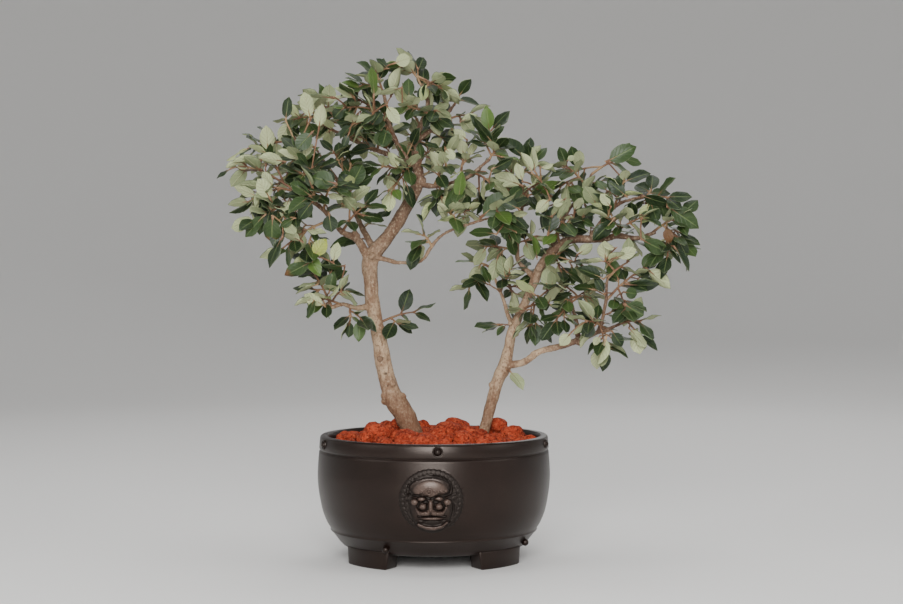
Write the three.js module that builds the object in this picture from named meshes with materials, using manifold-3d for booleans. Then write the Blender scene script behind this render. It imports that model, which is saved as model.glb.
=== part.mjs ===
// Cotoneaster bonsai: two slim trees planted together in a round pot of dark, unglazed clay.
// The pot is one fired piece with a rim band, nail-head studs, lion masks and four feet.
// It holds soil under a dressing of red lava stones. Each trunk carries boughs, and the
// leafy sprays that grow from them are nodes of their own.
// Millimetres, +Z up. The front faces -Y. Heights are counted from the surface it stands on.
import * as THREE from "three";
import Module from "manifold-3d";
import { mergeVertices } from "three/addons/utils/BufferGeometryUtils.js";

const wasm = await Module();
wasm.setup();

// Driving dimensions
const GAP = 0.35; // running clearance between neighbouring pieces
const FINE = 0.02; // the smallest edge that a cut or a join leaves
const SAME_SPOT = 1e-4; // corners nearer than this are one corner

const POT_SIDES = 32;
const FOOT_HEIGHT = 12.5;
const FOOT = { outer: 81, inner: 63, halfAngle: 19, centre: 47, sunk: 3 };
const RIM_HEIGHT = 107.3;
const FLOOR_TOP = 19;
const DRAIN_RADIUS = 8;
// The pot's outside from its underside to its rim, as [radius, height]
const POT_OUTSIDE = [
  [77.5, 12.5], [82.6, 17], [89.9, 25.5], [93.4, 33], [97.4, 43.5], [99.9, 57], [100.9, 72], [100.6, 84],
  [100.1, 93.7], [98.9, 95.1], [99.9, 96.5], [98.9, 106], [97.6, RIM_HEIGHT],
];
// The pot's inside from its rim to the edge of its floor
const POT_INSIDE = [[92.8, RIM_HEIGHT], [91.9, 105.8], [93.4, 60], [87, 35], [70, FLOOR_TOP]];

const RIM_STUDS = { count: 5, first: 1.8, radius: 4.2, height: 101.5, stand: 99.3, flat: 0.5 };
const FOOT_BEAD = { radius: 3, height: 18, stand: 84.6 };
const MASK = { radius: 27, height: 61.2, azimuth: -1.2, rings: 5, spokes: 18, sunk: 1, root: 4 };

const SCREEN = { side: 30, thick: 1.2, bars: 3, bar: 2.4 };
const SOIL_TOP = 97;
const BED = {
  radius: 91, bottom: SOIL_TOP + 0.3, edge: 103.5, crown: 108.5, bump: 1.6, rings: 5, spokes: 18,
};
const STONES = { count: 16, radius: [7.5, 10], reach: 0.82, start: 0.7, lift: 1, seed: 11 };
// The big stones that stand proud, as [x, y, z, radius]
const BIG_STONES = [
  [-47, -28, 111, 10.5], [-72, -18, 105.5, 7.6], [-30, -30, 108, 7.5], [11, -24, 111, 12],
  [31, -22, 109.5, 9], [57, 12, 113.5, 8.5], [68, -12, 109, 8.8], [-6, -44, 105.5, 8],
  [46, -46, 105, 8.2], [-30, 26, 112, 10], [20, 30, 112, 11],
];

// Trunks and boughs: each point is [x, y, z, radius]
const ROUTES = {
  left_trunk: [
    [-11.2, 5, 75.7, 8.2], [-18.2, 4, 105.5, 9.2], [-26, 3, 123.9, 9.5], [-33, 2, 135.3, 9.3],
    [-38.6, 0, 148.5, 7.8], [-44.2, -2, 171.2, 7.1], [-47.6, -3, 193.8, 6.7], [-52.4, -4, 216.4, 6.3],
    [-54.5, -4, 239, 6.4], [-55.4, -4, 255.4, 7.2], [-51.1, -4, 265.9, 6.7], [-40.7, -3, 278.9, 6],
    [-29, -1, 295.4, 5.8], [-19.9, 2, 312.1, 5.5], [-14.7, 4, 324.4, 5.4], [-13, 5, 335.8, 4.6],
    [-16.5, 5, 350.6, 3.5], [-15.6, 6, 363.8, 3], [-12.1, 7, 374.3, 2.6], [-7.7, 8, 386.6, 2.2],
    [-6, 8, 398.9, 1.9], [-11.2, 4, 412.4, 1.5],
  ],
  low_left_bough: [
    [-56.2, -5, 257.2, 4.4], [-62.1, -10, 271.8, 3.8], [-68.7, -16, 278.6, 3.2],
    [-78.6, -24, 282.8, 2.7], [-86, -30, 292, 2.4], [-95.9, -36, 302.9, 2.2], [-109.2, -40, 311.2, 2],
    [-121.7, -42, 317.9, 1.6],
  ],
  back_left_bough: [
    [-52, -2, 267.6, 3.4], [-61.8, 4, 286, 2.7], [-68.2, 11, 299.3, 2.5], [-75.6, 19, 313.6, 2.3],
    [-84.8, 27, 328.1, 2.1], [-95.8, 33, 343.5, 1.8], [-104.9, 36, 358.8, 1.5],
  ],
  left_shelf: [
    [-56.2, -5, 219, 3.2], [-68.1, -11, 217.4, 2.5], [-78.2, -16, 220.1, 2.2], [-88.2, -22, 217.6, 1.8],
  ],
  long_right_bough: [
    [-51.9, -6, 261.5, 3], [-41.3, -10, 259.7, 2.3], [-29.2, -14, 257.1, 1.9], [-11.9, -19, 258.8, 1.7],
    [-3.3, -22, 268.2, 1.7], [5.3, -25, 277.6, 1.6], [19, -28, 285.2, 1.6], [34.3, -31, 291.1, 1.5],
    [50.4, -33, 295.3, 1.2],
  ],
  crown_left_stem: [
    [-13.8, 4, 337.4, 3.2], [-24.2, -3, 347.5, 2.7], [-32.7, -9, 360.9, 2.4], [-39.5, -14, 377.8, 2.1],
    [-42.8, -18, 400.7, 1.6],
  ],
  crown_back_bough: [
    [-13.8, 6, 335.8, 3.2], [-28, 14, 345, 2.8], [-45.8, 22, 354.3, 2.4], [-65.5, 30, 362.8, 2.1],
    [-83.5, 35, 372.1, 1.8], [-99.7, 38, 380.3, 1.5],
  ],
  crown_right_bough: [
    [-14.7, 4, 326.1, 3], [0.1, -4, 323.1, 2.5], [17.4, -12, 325.3, 2.2], [33.7, -18, 333.6, 1.9],
    [48.2, -23, 345.3, 1.5],
  ],
  crown_top_right: [
    [-15.6, 6, 362, 2.6], [-3.4, 14, 371.4, 2.2], [8.9, 22, 382.6, 1.9], [18.7, 27, 397.1, 1.5],
  ],
  right_trunk: [
    [31.5, 2, 72.6, 5.3], [38.4, 1, 95.3, 5], [43.6, 0, 111.1, 4.9], [47.1, 0, 124.1, 5],
    [51.4, 0, 140.6, 5.4], [55.8, -1, 155.5, 5.7], [61.4, -1, 166.8, 6], [64.9, 0, 181.5, 4.8],
    [67.6, 2, 195.4, 4.5], [74.2, 4, 210.1, 4], [80.4, 5, 224.1, 3.8], [84.8, 5, 234.5, 3.8],
    [89.1, 4, 244.1, 4.1], [93.3, 1, 254.6, 4.1], [100.8, -3, 265, 4.2], [110.1, -7, 272.7, 3.9],
    [120.2, -11, 277, 3.8], [133.7, -15, 276.9, 3.4], [146.3, -18, 276.9, 3.1],
    [158.1, -21, 279.4, 2.7], [173.2, -24, 277.6, 2.3], [189.9, -27, 282.7, 1.8],
  ],
  low_right_bough: [
    [61.8, -2, 167.7, 3.9], [70.4, -5, 168.7, 3.5], [78, -8, 170.6, 3.3], [89, -12, 177.7, 3.1],
    [102.6, -16, 183.1, 2.9], [115.2, -20, 186.7, 2.9], [125.3, -23, 190.2, 3.1],
    [139.5, -27, 196.4, 2.1], [151.2, -30, 200.7, 1.8], [160.4, -32, 205, 1.5],
  ],
  stub_shoot: [
    [124.5, -22, 190.2, 2.8], [123.2, -17, 199.5, 2.4], [120.3, -10, 214.8, 2], [118.8, -6, 228.6, 1.5],
  ],
  upright_left_stem: [
    [88.3, 5, 242.4, 3], [80.7, 10, 250.3, 2.4], [73.8, 14, 259.9, 2.1], [74.6, 12, 280.1, 1.9],
    [77.1, 8, 298.3, 1.7], [77.6, 2, 323.4, 1.3],
  ],
  thin_left_twig: [
    [69.8, 3, 200.6, 2.6], [64, 10, 212.6, 2], [59, 16, 230, 1.7], [53.8, 20, 243.2, 1.5],
    [48.6, 23, 253.8, 1.2],
  ],
  back_right_bough: [
    [100, -2, 264.1, 2.8], [106.8, 8, 280, 2.3], [116.1, 16, 297.7, 2], [126.2, 22, 312, 1.8],
    [134.4, 25, 324.5, 1.6], [139.8, 26, 336, 1.3],
  ],
  upper_right_twig: [
    [134.5, -16, 276.9, 2.6], [144.3, -21, 292.3, 2.1], [156.8, -25, 305, 1.8], [172, -27, 311.8, 1.4],
  ],
  right_upshoot: [
    [140.4, -27, 196.4, 2.2], [144.3, -31, 211, 1.8], [146.6, -33, 228.1, 1.6], [148.2, -34, 245.1, 1.2],
  ],
};
const TREES = {
  left_wood: {
    trunk: "left_trunk",
    boughs: [
      "low_left_bough", "back_left_bough", "left_shelf", "long_right_bough", "crown_left_stem",
      "crown_back_bough", "crown_right_bough", "crown_top_right",
    ],
    roots: [95, 150, 205, 262],
  },
  right_wood: {
    trunk: "right_trunk",
    boughs: [
      "low_right_bough", "stub_shoot", "upright_left_stem", "thin_left_twig", "back_right_bough",
      "upper_right_twig", "right_upshoot",
    ],
    roots: [-80, -28, 25, 78],
  },
};
// A root's course as [distance out, height, radius]
const ROOT_STEPS = [[0, 82, 4.4], [12, 76, 3.6], [30, 50, 1.6]];
const TRUNK_SIDES = 7;
const BOUGH_SIDES = 5;

// Leafy sprays: where each leaves its bough, counted in points along the route, and where its
// twigs end. lean tips the blades' upper faces to the back (+) or to the front (-), and a
// single spray holds one leaf.
const SPRAYS = [
  { name: "crown_top", on: "left_trunk", at: 20.8, lean: 0.8,
    tips: [[-21.6, 2, 427], [0, 12, 411], [10, 2, 404]] },
  { name: "crown_left_tip", on: "crown_left_stem", at: 3.9, lean: -0.5,
    tips: [[-49.5, -24, 418.1], [-62.9, -12, 409]] },
  { name: "crown_left_side", on: "crown_left_stem", at: 3.0, lean: 0.0,
    tips: [[-71.8, -6, 401], [-74.4, -24, 389]] },
  { name: "crown_left_front", on: "crown_left_stem", at: 2.3, lean: -0.4,
    tips: [[-51.5, -40, 382.4], [-68.3, -44, 373.6]] },
  { name: "top_right_end", on: "crown_top_right", at: 2.9, lean: -0.5,
    tips: [[22, 32, 404], [8, 42, 400]] },
  { name: "top_right_side", on: "crown_top_right", at: 1.8, lean: 0.7,
    tips: [[30, 16, 386.5], [16.1, 32, 375.4]] },
  { name: "crown_front", on: "left_trunk", at: 18.6, lean: 0.5,
    tips: [[2, -12, 388], [-27, -18, 391]] },
  { name: "back_bough_end", on: "crown_back_bough", at: 4.9, lean: 0.7,
    tips: [[-111.9, 34, 394.2], [-127.1, 24, 381.8]] },
  { name: "back_bough_top", on: "crown_back_bough", at: 3.4, lean: 0.2,
    tips: [[-101, 38, 399], [-104, 54, 381]] },
  { name: "back_bough_mid", on: "crown_back_bough", at: 2.2, lean: -0.2,
    tips: [[-47.2, 42, 386.9], [-64.9, 58, 375.7]] },
  { name: "far_left_end", on: "back_left_bough", at: 5.9, lean: 0.0,
    tips: [[-126.3, 26, 367.9], [-160.7, 8, 356.9]] },
  { name: "far_left_side", on: "back_left_bough", at: 5.0, lean: 0.1,
    tips: [[-149.6, 38, 346.5], [-131, 50, 337.4]] },
  { name: "far_left_up", on: "back_left_bough", at: 3.3, lean: -0.2,
    tips: [[-72.7, 14, 342.4], [-87.1, 4, 353.1]] },
  { name: "low_left_end", on: "low_left_bough", at: 6.9, lean: 0.7,
    tips: [[-143, -50, 319.2], [-157.1, -36, 308]] },
  { name: "low_left_out", on: "low_left_bough", at: 6.2, lean: 0.8,
    tips: [[-158.3, -32, 338], [-142.2, -22, 350.6]] },
  { name: "low_left_under", on: "low_left_bough", at: 5.8, lean: -0.9,
    tips: [[-150, -54, 292], [-125.4, -68, 288]] },
  { name: "low_left_up", on: "low_left_bough", at: 5.5, lean: -0.4,
    tips: [[-115.3, -38, 350.4], [-102.1, -56, 335.7]] },
  { name: "low_left_front", on: "low_left_bough", at: 4.8, lean: -0.9,
    tips: [[-85.6, -66, 321.8], [-103.7, -70, 310.8]] },
  { name: "low_left_drop", on: "low_left_bough", at: 4.1, lean: 0.3,
    tips: [[-127, -56, 268], [-108, -44, 263]] },
  { name: "low_left_mid", on: "low_left_bough", at: 3.0, lean: -0.3,
    tips: [[-58.9, -46, 304.2], [-71, -40, 319.7]] },
  { name: "shelf_up", on: "left_shelf", at: 2.9, lean: -0.5,
    tips: [[-107, -30, 255], [-86.5, -22, 241]] },
  { name: "shelf_left", on: "left_shelf", at: 2.1, lean: 0.4,
    tips: [[-101.4, -42, 226], [-79, -38, 232.3]] },
  { name: "shelf_drop", on: "left_shelf", at: 1.4, lean: 0.0,
    tips: [[-72, -18, 206], [-62, -28, 208]] },
  { name: "trunk_shoot", on: "left_trunk", at: 6.4, lean: -0.5,
    tips: [[-17.4, 8, 213.5], [-31, -8, 203.5]] },
  { name: "leader_front", on: "left_trunk", at: 14.4, lean: 0.4,
    tips: [[-44, -34, 338], [-36, -34, 316]] },
  { name: "leader_back", on: "left_trunk", at: 15.5, lean: 0.4,
    tips: [[-0.8, 38, 356.3], [-20.3, 34, 370.2]] },
  { name: "crown_right_first", on: "crown_right_bough", at: 1.0, lean: 0.7,
    tips: [[10.4, -28, 339.9], [6.2, -22, 312.8]] },
  { name: "crown_right_mid", on: "crown_right_bough", at: 2.3, lean: 0.4,
    tips: [[27.9, -6, 356.8], [23.9, -40, 318]] },
  { name: "crown_right_end", on: "crown_right_bough", at: 3.9, lean: -0.3,
    tips: [[54, -26, 353.7], [40.6, -16, 366.4]] },
  { name: "crown_right_low", on: "crown_right_bough", at: 3.0, lean: 0.5,
    tips: [[47.7, -38, 324], [39, -10, 313.3]] },
  { name: "long_right_first", on: "long_right_bough", at: 4.2, lean: -0.2,
    tips: [[-8.4, -30, 280.1], [-15.3, -22, 270.8]] },
  { name: "long_right_up", on: "long_right_bough", at: 6.0, lean: 0.4,
    tips: [[12.9, -42, 299.3], [28.5, -20, 304.3]] },
  { name: "long_right_end", on: "long_right_bough", at: 7.9, lean: -0.9,
    tips: [[62.7, -44, 303.5], [65.9, -30, 286.9]] },
  { name: "left_stem_top", on: "upright_left_stem", at: 4.9, lean: 0.6,
    tips: [[61, -4, 338], [85.5, -14, 342.5]] },
  { name: "left_stem_mid", on: "upright_left_stem", at: 4.0, lean: 0.3,
    tips: [[59.8, -10, 324.6], [91.5, -30, 325]] },
  { name: "left_stem_low", on: "upright_left_stem", at: 2.3, lean: 0.6,
    tips: [[46, 26, 271], [87, -14, 276]] },
  { name: "thin_twig_end", on: "thin_left_twig", at: 3.9, lean: 0.0,
    tips: [[37.4, 34, 257.4], [31, 26, 234.4]] },
  { name: "thin_twig_mid", on: "thin_left_twig", at: 2.1, lean: 0.5,
    tips: [[66, 6, 247], [72, 28, 229]] },
  { name: "back_right_end", on: "back_right_bough", at: 4.9, lean: -0.7,
    tips: [[166, 26, 349], [126, 36, 338]] },
  { name: "back_right_top", on: "back_right_bough", at: 4.0, lean: 0.3,
    tips: [[116, 14, 341.5], [110, 4, 322.6]] },
  { name: "back_right_mid", on: "back_right_bough", at: 2.6, lean: 0.0,
    tips: [[151, 42, 315.5], [99.5, 32, 306.2]] },
  { name: "upper_right_end", on: "upper_right_twig", at: 2.9, lean: -0.5,
    tips: [[202.6, -28, 311.7], [183, -14, 308]] },
  { name: "upper_right_mid", on: "upper_right_twig", at: 1.8, lean: -0.3,
    tips: [[161.6, -36, 325.8], [150, -6, 318.7]] },
  { name: "right_end", on: "right_trunk", at: 20.8, lean: -0.5,
    tips: [[211.2, -34, 297], [215.4, -22, 271.7], [198, -44, 262]] },
  { name: "right_mid_top", on: "right_trunk", at: 18.4, lean: 0.3,
    tips: [[175, -46, 294.1], [147.9, -38, 295.2]] },
  { name: "right_mid_first", on: "right_trunk", at: 14.9, lean: -0.3,
    tips: [[100.1, -28, 295.5], [127.6, -26, 295.5]] },
  { name: "upshoot_end", on: "right_upshoot", at: 2.9, lean: 0.5,
    tips: [[165.3, -34, 257], [144.7, -44, 257.8]] },
  { name: "upshoot_mid", on: "right_upshoot", at: 1.7, lean: -0.6,
    tips: [[179, -26, 251], [162, -48, 217]] },
  { name: "low_right_end", on: "low_right_bough", at: 8.9, lean: -0.3,
    tips: [[175, -38, 206.9], [174.7, -26, 193.8]] },
  { name: "low_right_hang", on: "low_right_bough", at: 7.7, lean: 0.4,
    tips: [[129.2, -48, 207.2], [146.3, -40, 181.4]] },
  { name: "stub_end", on: "stub_shoot", at: 2.8, lean: 0.6,
    tips: [[133.9, -22, 227.1], [110, 6, 238], [104.3, -30, 207.5]] },
  { name: "low_shoot", on: "right_trunk", at: 5.7, lean: -0.9, single: true,
    tips: [[66, -12, 163]] },
  { name: "trunk_fill", on: "right_trunk", at: 9.4, lean: 0.3,
    tips: [[99, -18, 221], [104.5, -26, 236.5], [84, -22, 204]] },
  { name: "right_under", on: "right_trunk", at: 14.2, lean: 0.2,
    tips: [[108.7, -28, 248.5], [132.9, -14, 250.2]] },
];
const TWIG = { root: 1.3, fork: 1, tip: 0.65, bow: 0.12, forkAt: 0.34, forkStep: 0.14 };
const LEAF = {
  length: 20.5, spread: 0.22, width: 0.54, widthStray: 0.1, thick: 0.7, droop: 0.13, widest: 0.44,
  open: [1.25, 0.8], openStray: 0.2, endOpen: 0.45, endStep: 0.1, stray: 0.3, face: [0.45, 0.45, 0.8],
  free: 2.2, clear: 0.5, proud: 0.2, tries: 10,
};
const NODES = { spacing: 16, least: 2, most: 3, first: 0.32, collar: 2, leaves: 2 };
const THIRD = (2 * Math.PI) / 3;
const GOLDEN_TURN = Math.PI * (3 - Math.sqrt(5));

// A seeded dice: each call gives the next number from 0 to 1
const DICE = { modulus: 2147483647, factor: 16807, spread: 7919 };
function dice(...seeds) {
  let state = seeds.reduce((sum, seed) => (sum * DICE.spread + seed + 1) % DICE.modulus, 1);
  const next = () => {
    state = (state * DICE.factor) % DICE.modulus;
    return state / DICE.modulus;
  };
  next();
  next();
  return next;
}
const between = (next, [low, high]) => low + (high - low) * next();
const vec = (p) => new THREE.Vector3(p[0], p[1], p[2]);
const turned = (degrees) => new THREE.Matrix4().makeRotationZ(THREE.MathUtils.degToRad(degrees));

// A closed geometry as a solid, with its shared corners merged and its flattened faces dropped
function solid(geometry) {
  const bare = new THREE.BufferGeometry();
  bare.setAttribute("position", geometry.getAttribute("position"));
  bare.setIndex(geometry.index);
  const merged = mergeVertices(bare, SAME_SPOT);
  const corners = Array.from(merged.index.array);
  const faces = Array.from({ length: corners.length / 3 }, (_, i) => corners.slice(3 * i, 3 * i + 3));
  return new wasm.Manifold(
    new wasm.Mesh({
      numProp: 3,
      vertProperties: new Float32Array(merged.attributes.position.array),
      triVerts: new Uint32Array(faces.filter(([a, b, c]) => a !== b && b !== c && c !== a).flat()),
    }),
  );
}
const joined = (solids) => solids.reduce((sum, one) => sum.add(one));

// A solid's largest body; slivers that a cut leaves loose are dropped
function largest(whole) {
  const bodies = whole.decompose();
  return bodies.reduce((best, one) => (one.volume() > best.volume() ? one : best));
}

function meshOf(name, whole, material) {
  const { vertProperties, triVerts } = whole.simplify(FINE).getMesh();
  const geometry = new THREE.BufferGeometry();
  geometry.setAttribute("position", new THREE.BufferAttribute(vertProperties, 3));
  geometry.setIndex(new THREE.BufferAttribute(triVerts, 1));
  const mesh = new THREE.Mesh(geometry, material);
  mesh.name = name;
  return mesh;
}

// A profile of [radius, height] points spun about the pot's axis
function spun(profile) {
  const points = profile.map(([r, z]) => new THREE.Vector2(r, z));
  const lathe = new THREE.LatheGeometry([...points, points[0]], POT_SIDES);
  return solid(lathe.rotateX(Math.PI / 2));
}

// A closed skin over rings of points, each counterclockwise seen from the far end; the last
// ring may be a single point. Side faces run from a ring's point k to the next ring's k + 1.
function loft(rings) {
  const size = rings[0].length;
  const faces = [];
  for (let k = 1; k < size - 1; k += 1) faces.push(0, k + 1, k);
  rings.slice(1).forEach((ring, i) => {
    const [near, far] = [i * size, (i + 1) * size];
    for (let k = 0; k < size; k += 1) {
      const turn = (k + 1) % size;
      if (ring.length === 1) faces.push(near + k, near + turn, far);
      else faces.push(near + k, near + turn, far + turn, near + k, far + turn, far + k);
    }
    const ends = i === rings.length - 2 && ring.length > 1;
    for (let k = 1; ends && k < size - 1; k += 1) faces.push(far, far + k, far + k + 1);
  });
  const geometry = new THREE.BufferGeometry();
  geometry.setFromPoints(rings.flat());
  geometry.setIndex(faces);
  return solid(geometry);
}

// A closed tube along a route of [x, y, z, radius]. grow thickens and lengthens it all round.
// turns gives each ring's own twist; rings of the tube come back with it for what joins on.
function tubeRings(route, sides, grow = 0, turns = []) {
  const last = route.length - 1;
  const centres = route.map(vec);
  let across = new THREE.Vector3(0, 1, 0.01);
  return centres.map((centre, i) => {
    const along = centres[Math.min(i + 1, last)].clone().sub(centres[Math.max(i - 1, 0)]).normalize();
    across = across.clone().addScaledVector(along, -across.dot(along)).normalize();
    const other = along.clone().cross(across);
    const end = i === last ? grow : i === 0 ? -grow : 0;
    return Array.from({ length: sides }, (_, k) => {
      const turn = (2 * Math.PI * k) / sides + (turns[i] ?? 0);
      const size = route[i][3] + grow;
      const point = centre.clone().addScaledVector(across, Math.cos(turn) * size);
      return point.addScaledVector(other, Math.sin(turn) * size).addScaledVector(along, end);
    });
  });
}
const tube = (route, sides, grow) => loft(tubeRings(route, sides, grow));

// The point on a route at a place counted in points from its start
function placeOn(route, at) {
  const i = Math.floor(at);
  return vec(route[i]).lerp(vec(route[i + 1]), at - i);
}

// The lion mask's relief at a point of its disc, in millimetres proud of the wall
function bump(x, z, [cx, cz, wide, tall, proud]) {
  return proud * Math.exp(-(((x - cx) / wide) ** 2) - ((z - cz) / tall) ** 2);
}
// Each feature is [x, z, half width, half height, proud]; both sides are alike
const MASK_FEATURES = [
  [0, 13, 12, 6.5, 2.6], [0, 8.6, 2, 2, 0.8], [6.6, 3.4, 3, 1.9, 2], [13.6, 1.2, 3, 2.6, 1.8],
  [0, -2.4, 1.7, 4.6, 2.6], [6, -3.6, 2.8, 2.4, 2.2], [7, -8.6, 5, 1.9, 1.9], [0, -15.6, 8, 2.6, -2.4],
  [0, -20.6, 9, 1.6, 1.6],
];
function maskRelief(x, z) {
  const out = Math.hypot(x, z) / MASK.radius;
  const dome = 3.2 * (1 - out ** 4);
  const mane = 1.3 * Math.exp(-(((out - 0.84) / 0.12) ** 2)) * (1 + 0.6 * Math.cos(9 * Math.atan2(x, z)));
  const face = MASK_FEATURES.map((f) => bump(Math.abs(x), z, f)).reduce((sum, one) => sum + one, 0);
  return dome + mane + face * (1 - out ** 8);
}

// The pot's outside radius at a height
function wallRadius(height) {
  const i = Math.max(1, POT_OUTSIDE.findIndex(([, z]) => z >= height));
  const [[r0, z0], [r1, z1]] = [POT_OUTSIDE[i - 1], POT_OUTSIDE[i]];
  return r0 + ((r1 - r0) * (height - z0)) / (z1 - z0);
}

// A closed cap of rings about a front point and a back point; spot gives ring and turn their place
function polarCap(front, back, rings, spokes, spot) {
  const spots = [...front];
  for (let ring = 1; ring <= rings; ring += 1) {
    for (let spoke = 0; spoke < spokes; spoke += 1) {
      spots.push(...spot(ring, (2 * Math.PI * spoke) / spokes));
    }
  }
  spots.push(...back);
  const at = (ring, spoke) => 1 + (ring - 1) * spokes + (spoke % spokes);
  const faces = [];
  for (let spoke = 0; spoke < spokes; spoke += 1) {
    faces.push(0, at(1, spoke), at(1, spoke + 1));
    for (let ring = 1; ring < rings; ring += 1) {
      const [a, b] = [at(ring, spoke), at(ring, spoke + 1)];
      const [c, d] = [at(ring + 1, spoke), at(ring + 1, spoke + 1)];
      faces.push(a, c, d, a, d, b);
    }
    faces.push(1 + rings * spokes, at(rings, spoke + 1), at(rings, spoke));
  }
  const geometry = new THREE.BufferGeometry();
  geometry.setAttribute("position", new THREE.Float32BufferAttribute(spots, 3));
  geometry.setIndex(faces);
  return solid(geometry);
}

function lionMask(azimuth) {
  const { radius, rings, spokes } = MASK;
  const place = (x, z, proud) => {
    const r = wallRadius(MASK.height + z) + proud;
    const a = x / wallRadius(MASK.height) + THREE.MathUtils.degToRad(azimuth);
    return [r * Math.sin(a), -r * Math.cos(a), MASK.height + z];
  };
  const spot = (ring, turn) => {
    const [x, z] = [Math.cos(turn), Math.sin(turn)].map((share) => (share * radius * ring) / rings);
    return place(x, z, ring < rings ? maskRelief(x, z) : -MASK.sunk);
  };
  return polarCap(place(0, 0, maskRelief(0, 0)), place(0, 0, -MASK.root), rings, spokes, spot);
}

// A foot: a piece of a ring, standing on the surface
function foot(centre) {
  const shape = new THREE.Shape();
  const [low, high] = [-FOOT.halfAngle, FOOT.halfAngle].map(THREE.MathUtils.degToRad);
  shape.absarc(0, 0, FOOT.outer, low, high, false);
  shape.absarc(0, 0, FOOT.inner, high, low, true);
  const made = new THREE.ExtrudeGeometry(shape, {
    depth: FOOT_HEIGHT + FOOT.sunk,
    bevelEnabled: false,
    curveSegments: 3,
  });
  return solid(made.applyMatrix4(turned(centre - 90)));
}

function bead(azimuth, { radius, height, stand, flat = 1 }) {
  const ball = new THREE.IcosahedronGeometry(radius, 0).scale(1, flat, 1);
  ball.translate(0, -stand, height);
  return solid(ball.applyMatrix4(turned(azimuth)));
}

function makePot() {
  const drain = [[DRAIN_RADIUS, FOOT_HEIGHT], [DRAIN_RADIUS, FLOOR_TOP]];
  const walls = spun([drain[0], ...POT_OUTSIDE, ...POT_INSIDE, drain[1]]);
  const feet = [-FOOT.centre, FOOT.centre, 180 - FOOT.centre, 180 + FOOT.centre];
  const { count, first } = RIM_STUDS;
  const studs = Array.from({ length: count }, (_, i) => first + (i * 360) / count);
  return joined([
    walls,
    ...feet.map(foot),
    ...feet.map((centre) => bead(centre + FOOT.halfAngle, FOOT_BEAD)),
    ...studs.map((azimuth) => bead(azimuth, RIM_STUDS)),
    lionMask(MASK.azimuth),
    lionMask(MASK.azimuth + 180),
  ]);
}

// The plastic screen that lies over the drain hole
function makeScreen() {
  const { side, thick, bars, bar } = SCREEN;
  const hole = (side - bar * (bars + 1)) / bars;
  const slab = (size, tall, x, y) => solid(new THREE.BoxGeometry(size, size, tall).translate(x, y, 0));
  const steps = Array.from({ length: bars }, (_, i) => (i - (bars - 1) / 2) * (hole + bar));
  const holes = steps.flatMap((x) => steps.map((y) => slab(hole, 2 * thick, x, y)));
  return slab(side, thick, 0, 0).subtract(joined(holes)).translate([0, 0, FLOOR_TOP + GAP + thick / 2]);
}

function makeSoil(stems) {
  const side = POT_INSIDE.slice(2).reverse().map(([r, z]) => [r - GAP, z + GAP]);
  const [top, next] = [POT_INSIDE[2], POT_INSIDE[1]];
  const share = (SOIL_TOP - top[1]) / (next[1] - top[1]);
  const edge = [top[0] + (next[0] - top[0]) * share - GAP, SOIL_TOP];
  const fill = spun([[0, FLOOR_TOP + GAP], ...side, edge, [0, SOIL_TOP]]);
  const clear = SCREEN.side + 2 * GAP;
  const room = new THREE.BoxGeometry(clear, clear, 2 * (SCREEN.thick + GAP));
  room.translate(0, 0, FLOOR_TOP + GAP);
  return fill.subtract(solid(room)).subtract(stems);
}

// One rough stone, squashed and turned at random
function stone(centre, radius, next) {
  const rough = new THREE.IcosahedronGeometry(radius, 0);
  rough.scale(between(next, [0.95, 1.2]), between(next, [0.9, 1.1]), between(next, [0.72, 0.9]));
  const turn = new THREE.Euler(...Array.from({ length: 3 }, () => between(next, [-0.6, 0.6])), "XYZ");
  rough.applyMatrix4(new THREE.Matrix4().makeRotationFromEuler(turn));
  return solid(rough.translate(centre[0], centre[1], centre[2]));
}

const bedHeight = (share) => BED.edge + (BED.crown - BED.edge) * (1 - share ** 2);

// Lava stones: the bed that they make together, with the larger ones standing out of it
function makeLava(stems) {
  const next = dice(STONES.seed);
  const { radius, rings, spokes } = BED;
  const spot = (ring, turn) => {
    const share = Math.min(ring / rings, 1);
    const top = bedHeight(share) + between(next, [-BED.bump, BED.bump]);
    const height = ring > rings ? BED.bottom : top;
    return [radius * share * Math.cos(turn), radius * share * Math.sin(turn), height];
  };
  const bed = polarCap([0, 0, bedHeight(0)], [0, 0, BED.bottom], rings + 1, spokes, spot);
  const big = BIG_STONES.map(([x, y, z, r]) => stone([x, y, z], r, next));
  const small = Array.from({ length: STONES.count }, (_, i) => {
    const share = STONES.reach * Math.sqrt((i + STONES.start) / STONES.count);
    const [out, turn] = [share * radius, i * GOLDEN_TURN];
    const centre = [out * Math.cos(turn), out * Math.sin(turn), bedHeight(share) + STONES.lift];
    return stone(centre, between(next, STONES.radius), next);
  });
  return largest(joined([bed, ...big, ...small]).subtract(stems));
}

// Wood: a trunk, its boughs and its roots, grown as one piece
function rootRoute([x, y], degrees) {
  const turn = THREE.MathUtils.degToRad(degrees);
  const [aside, back] = [Math.cos(turn), Math.sin(turn)];
  return ROOT_STEPS.map(([out, z, radius]) => [x + out * aside, y + out * back, z, radius]);
}
function woodParts({ trunk, boughs, roots }) {
  return [
    { route: ROUTES[trunk], sides: TRUNK_SIDES },
    ...boughs.map((name) => ({ route: ROUTES[name], sides: BOUGH_SIDES })),
    ...roots.map((degrees) => ({ route: rootRoute(ROUTES[trunk][0], degrees), sides: BOUGH_SIDES - 1 })),
  ];
}

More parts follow.
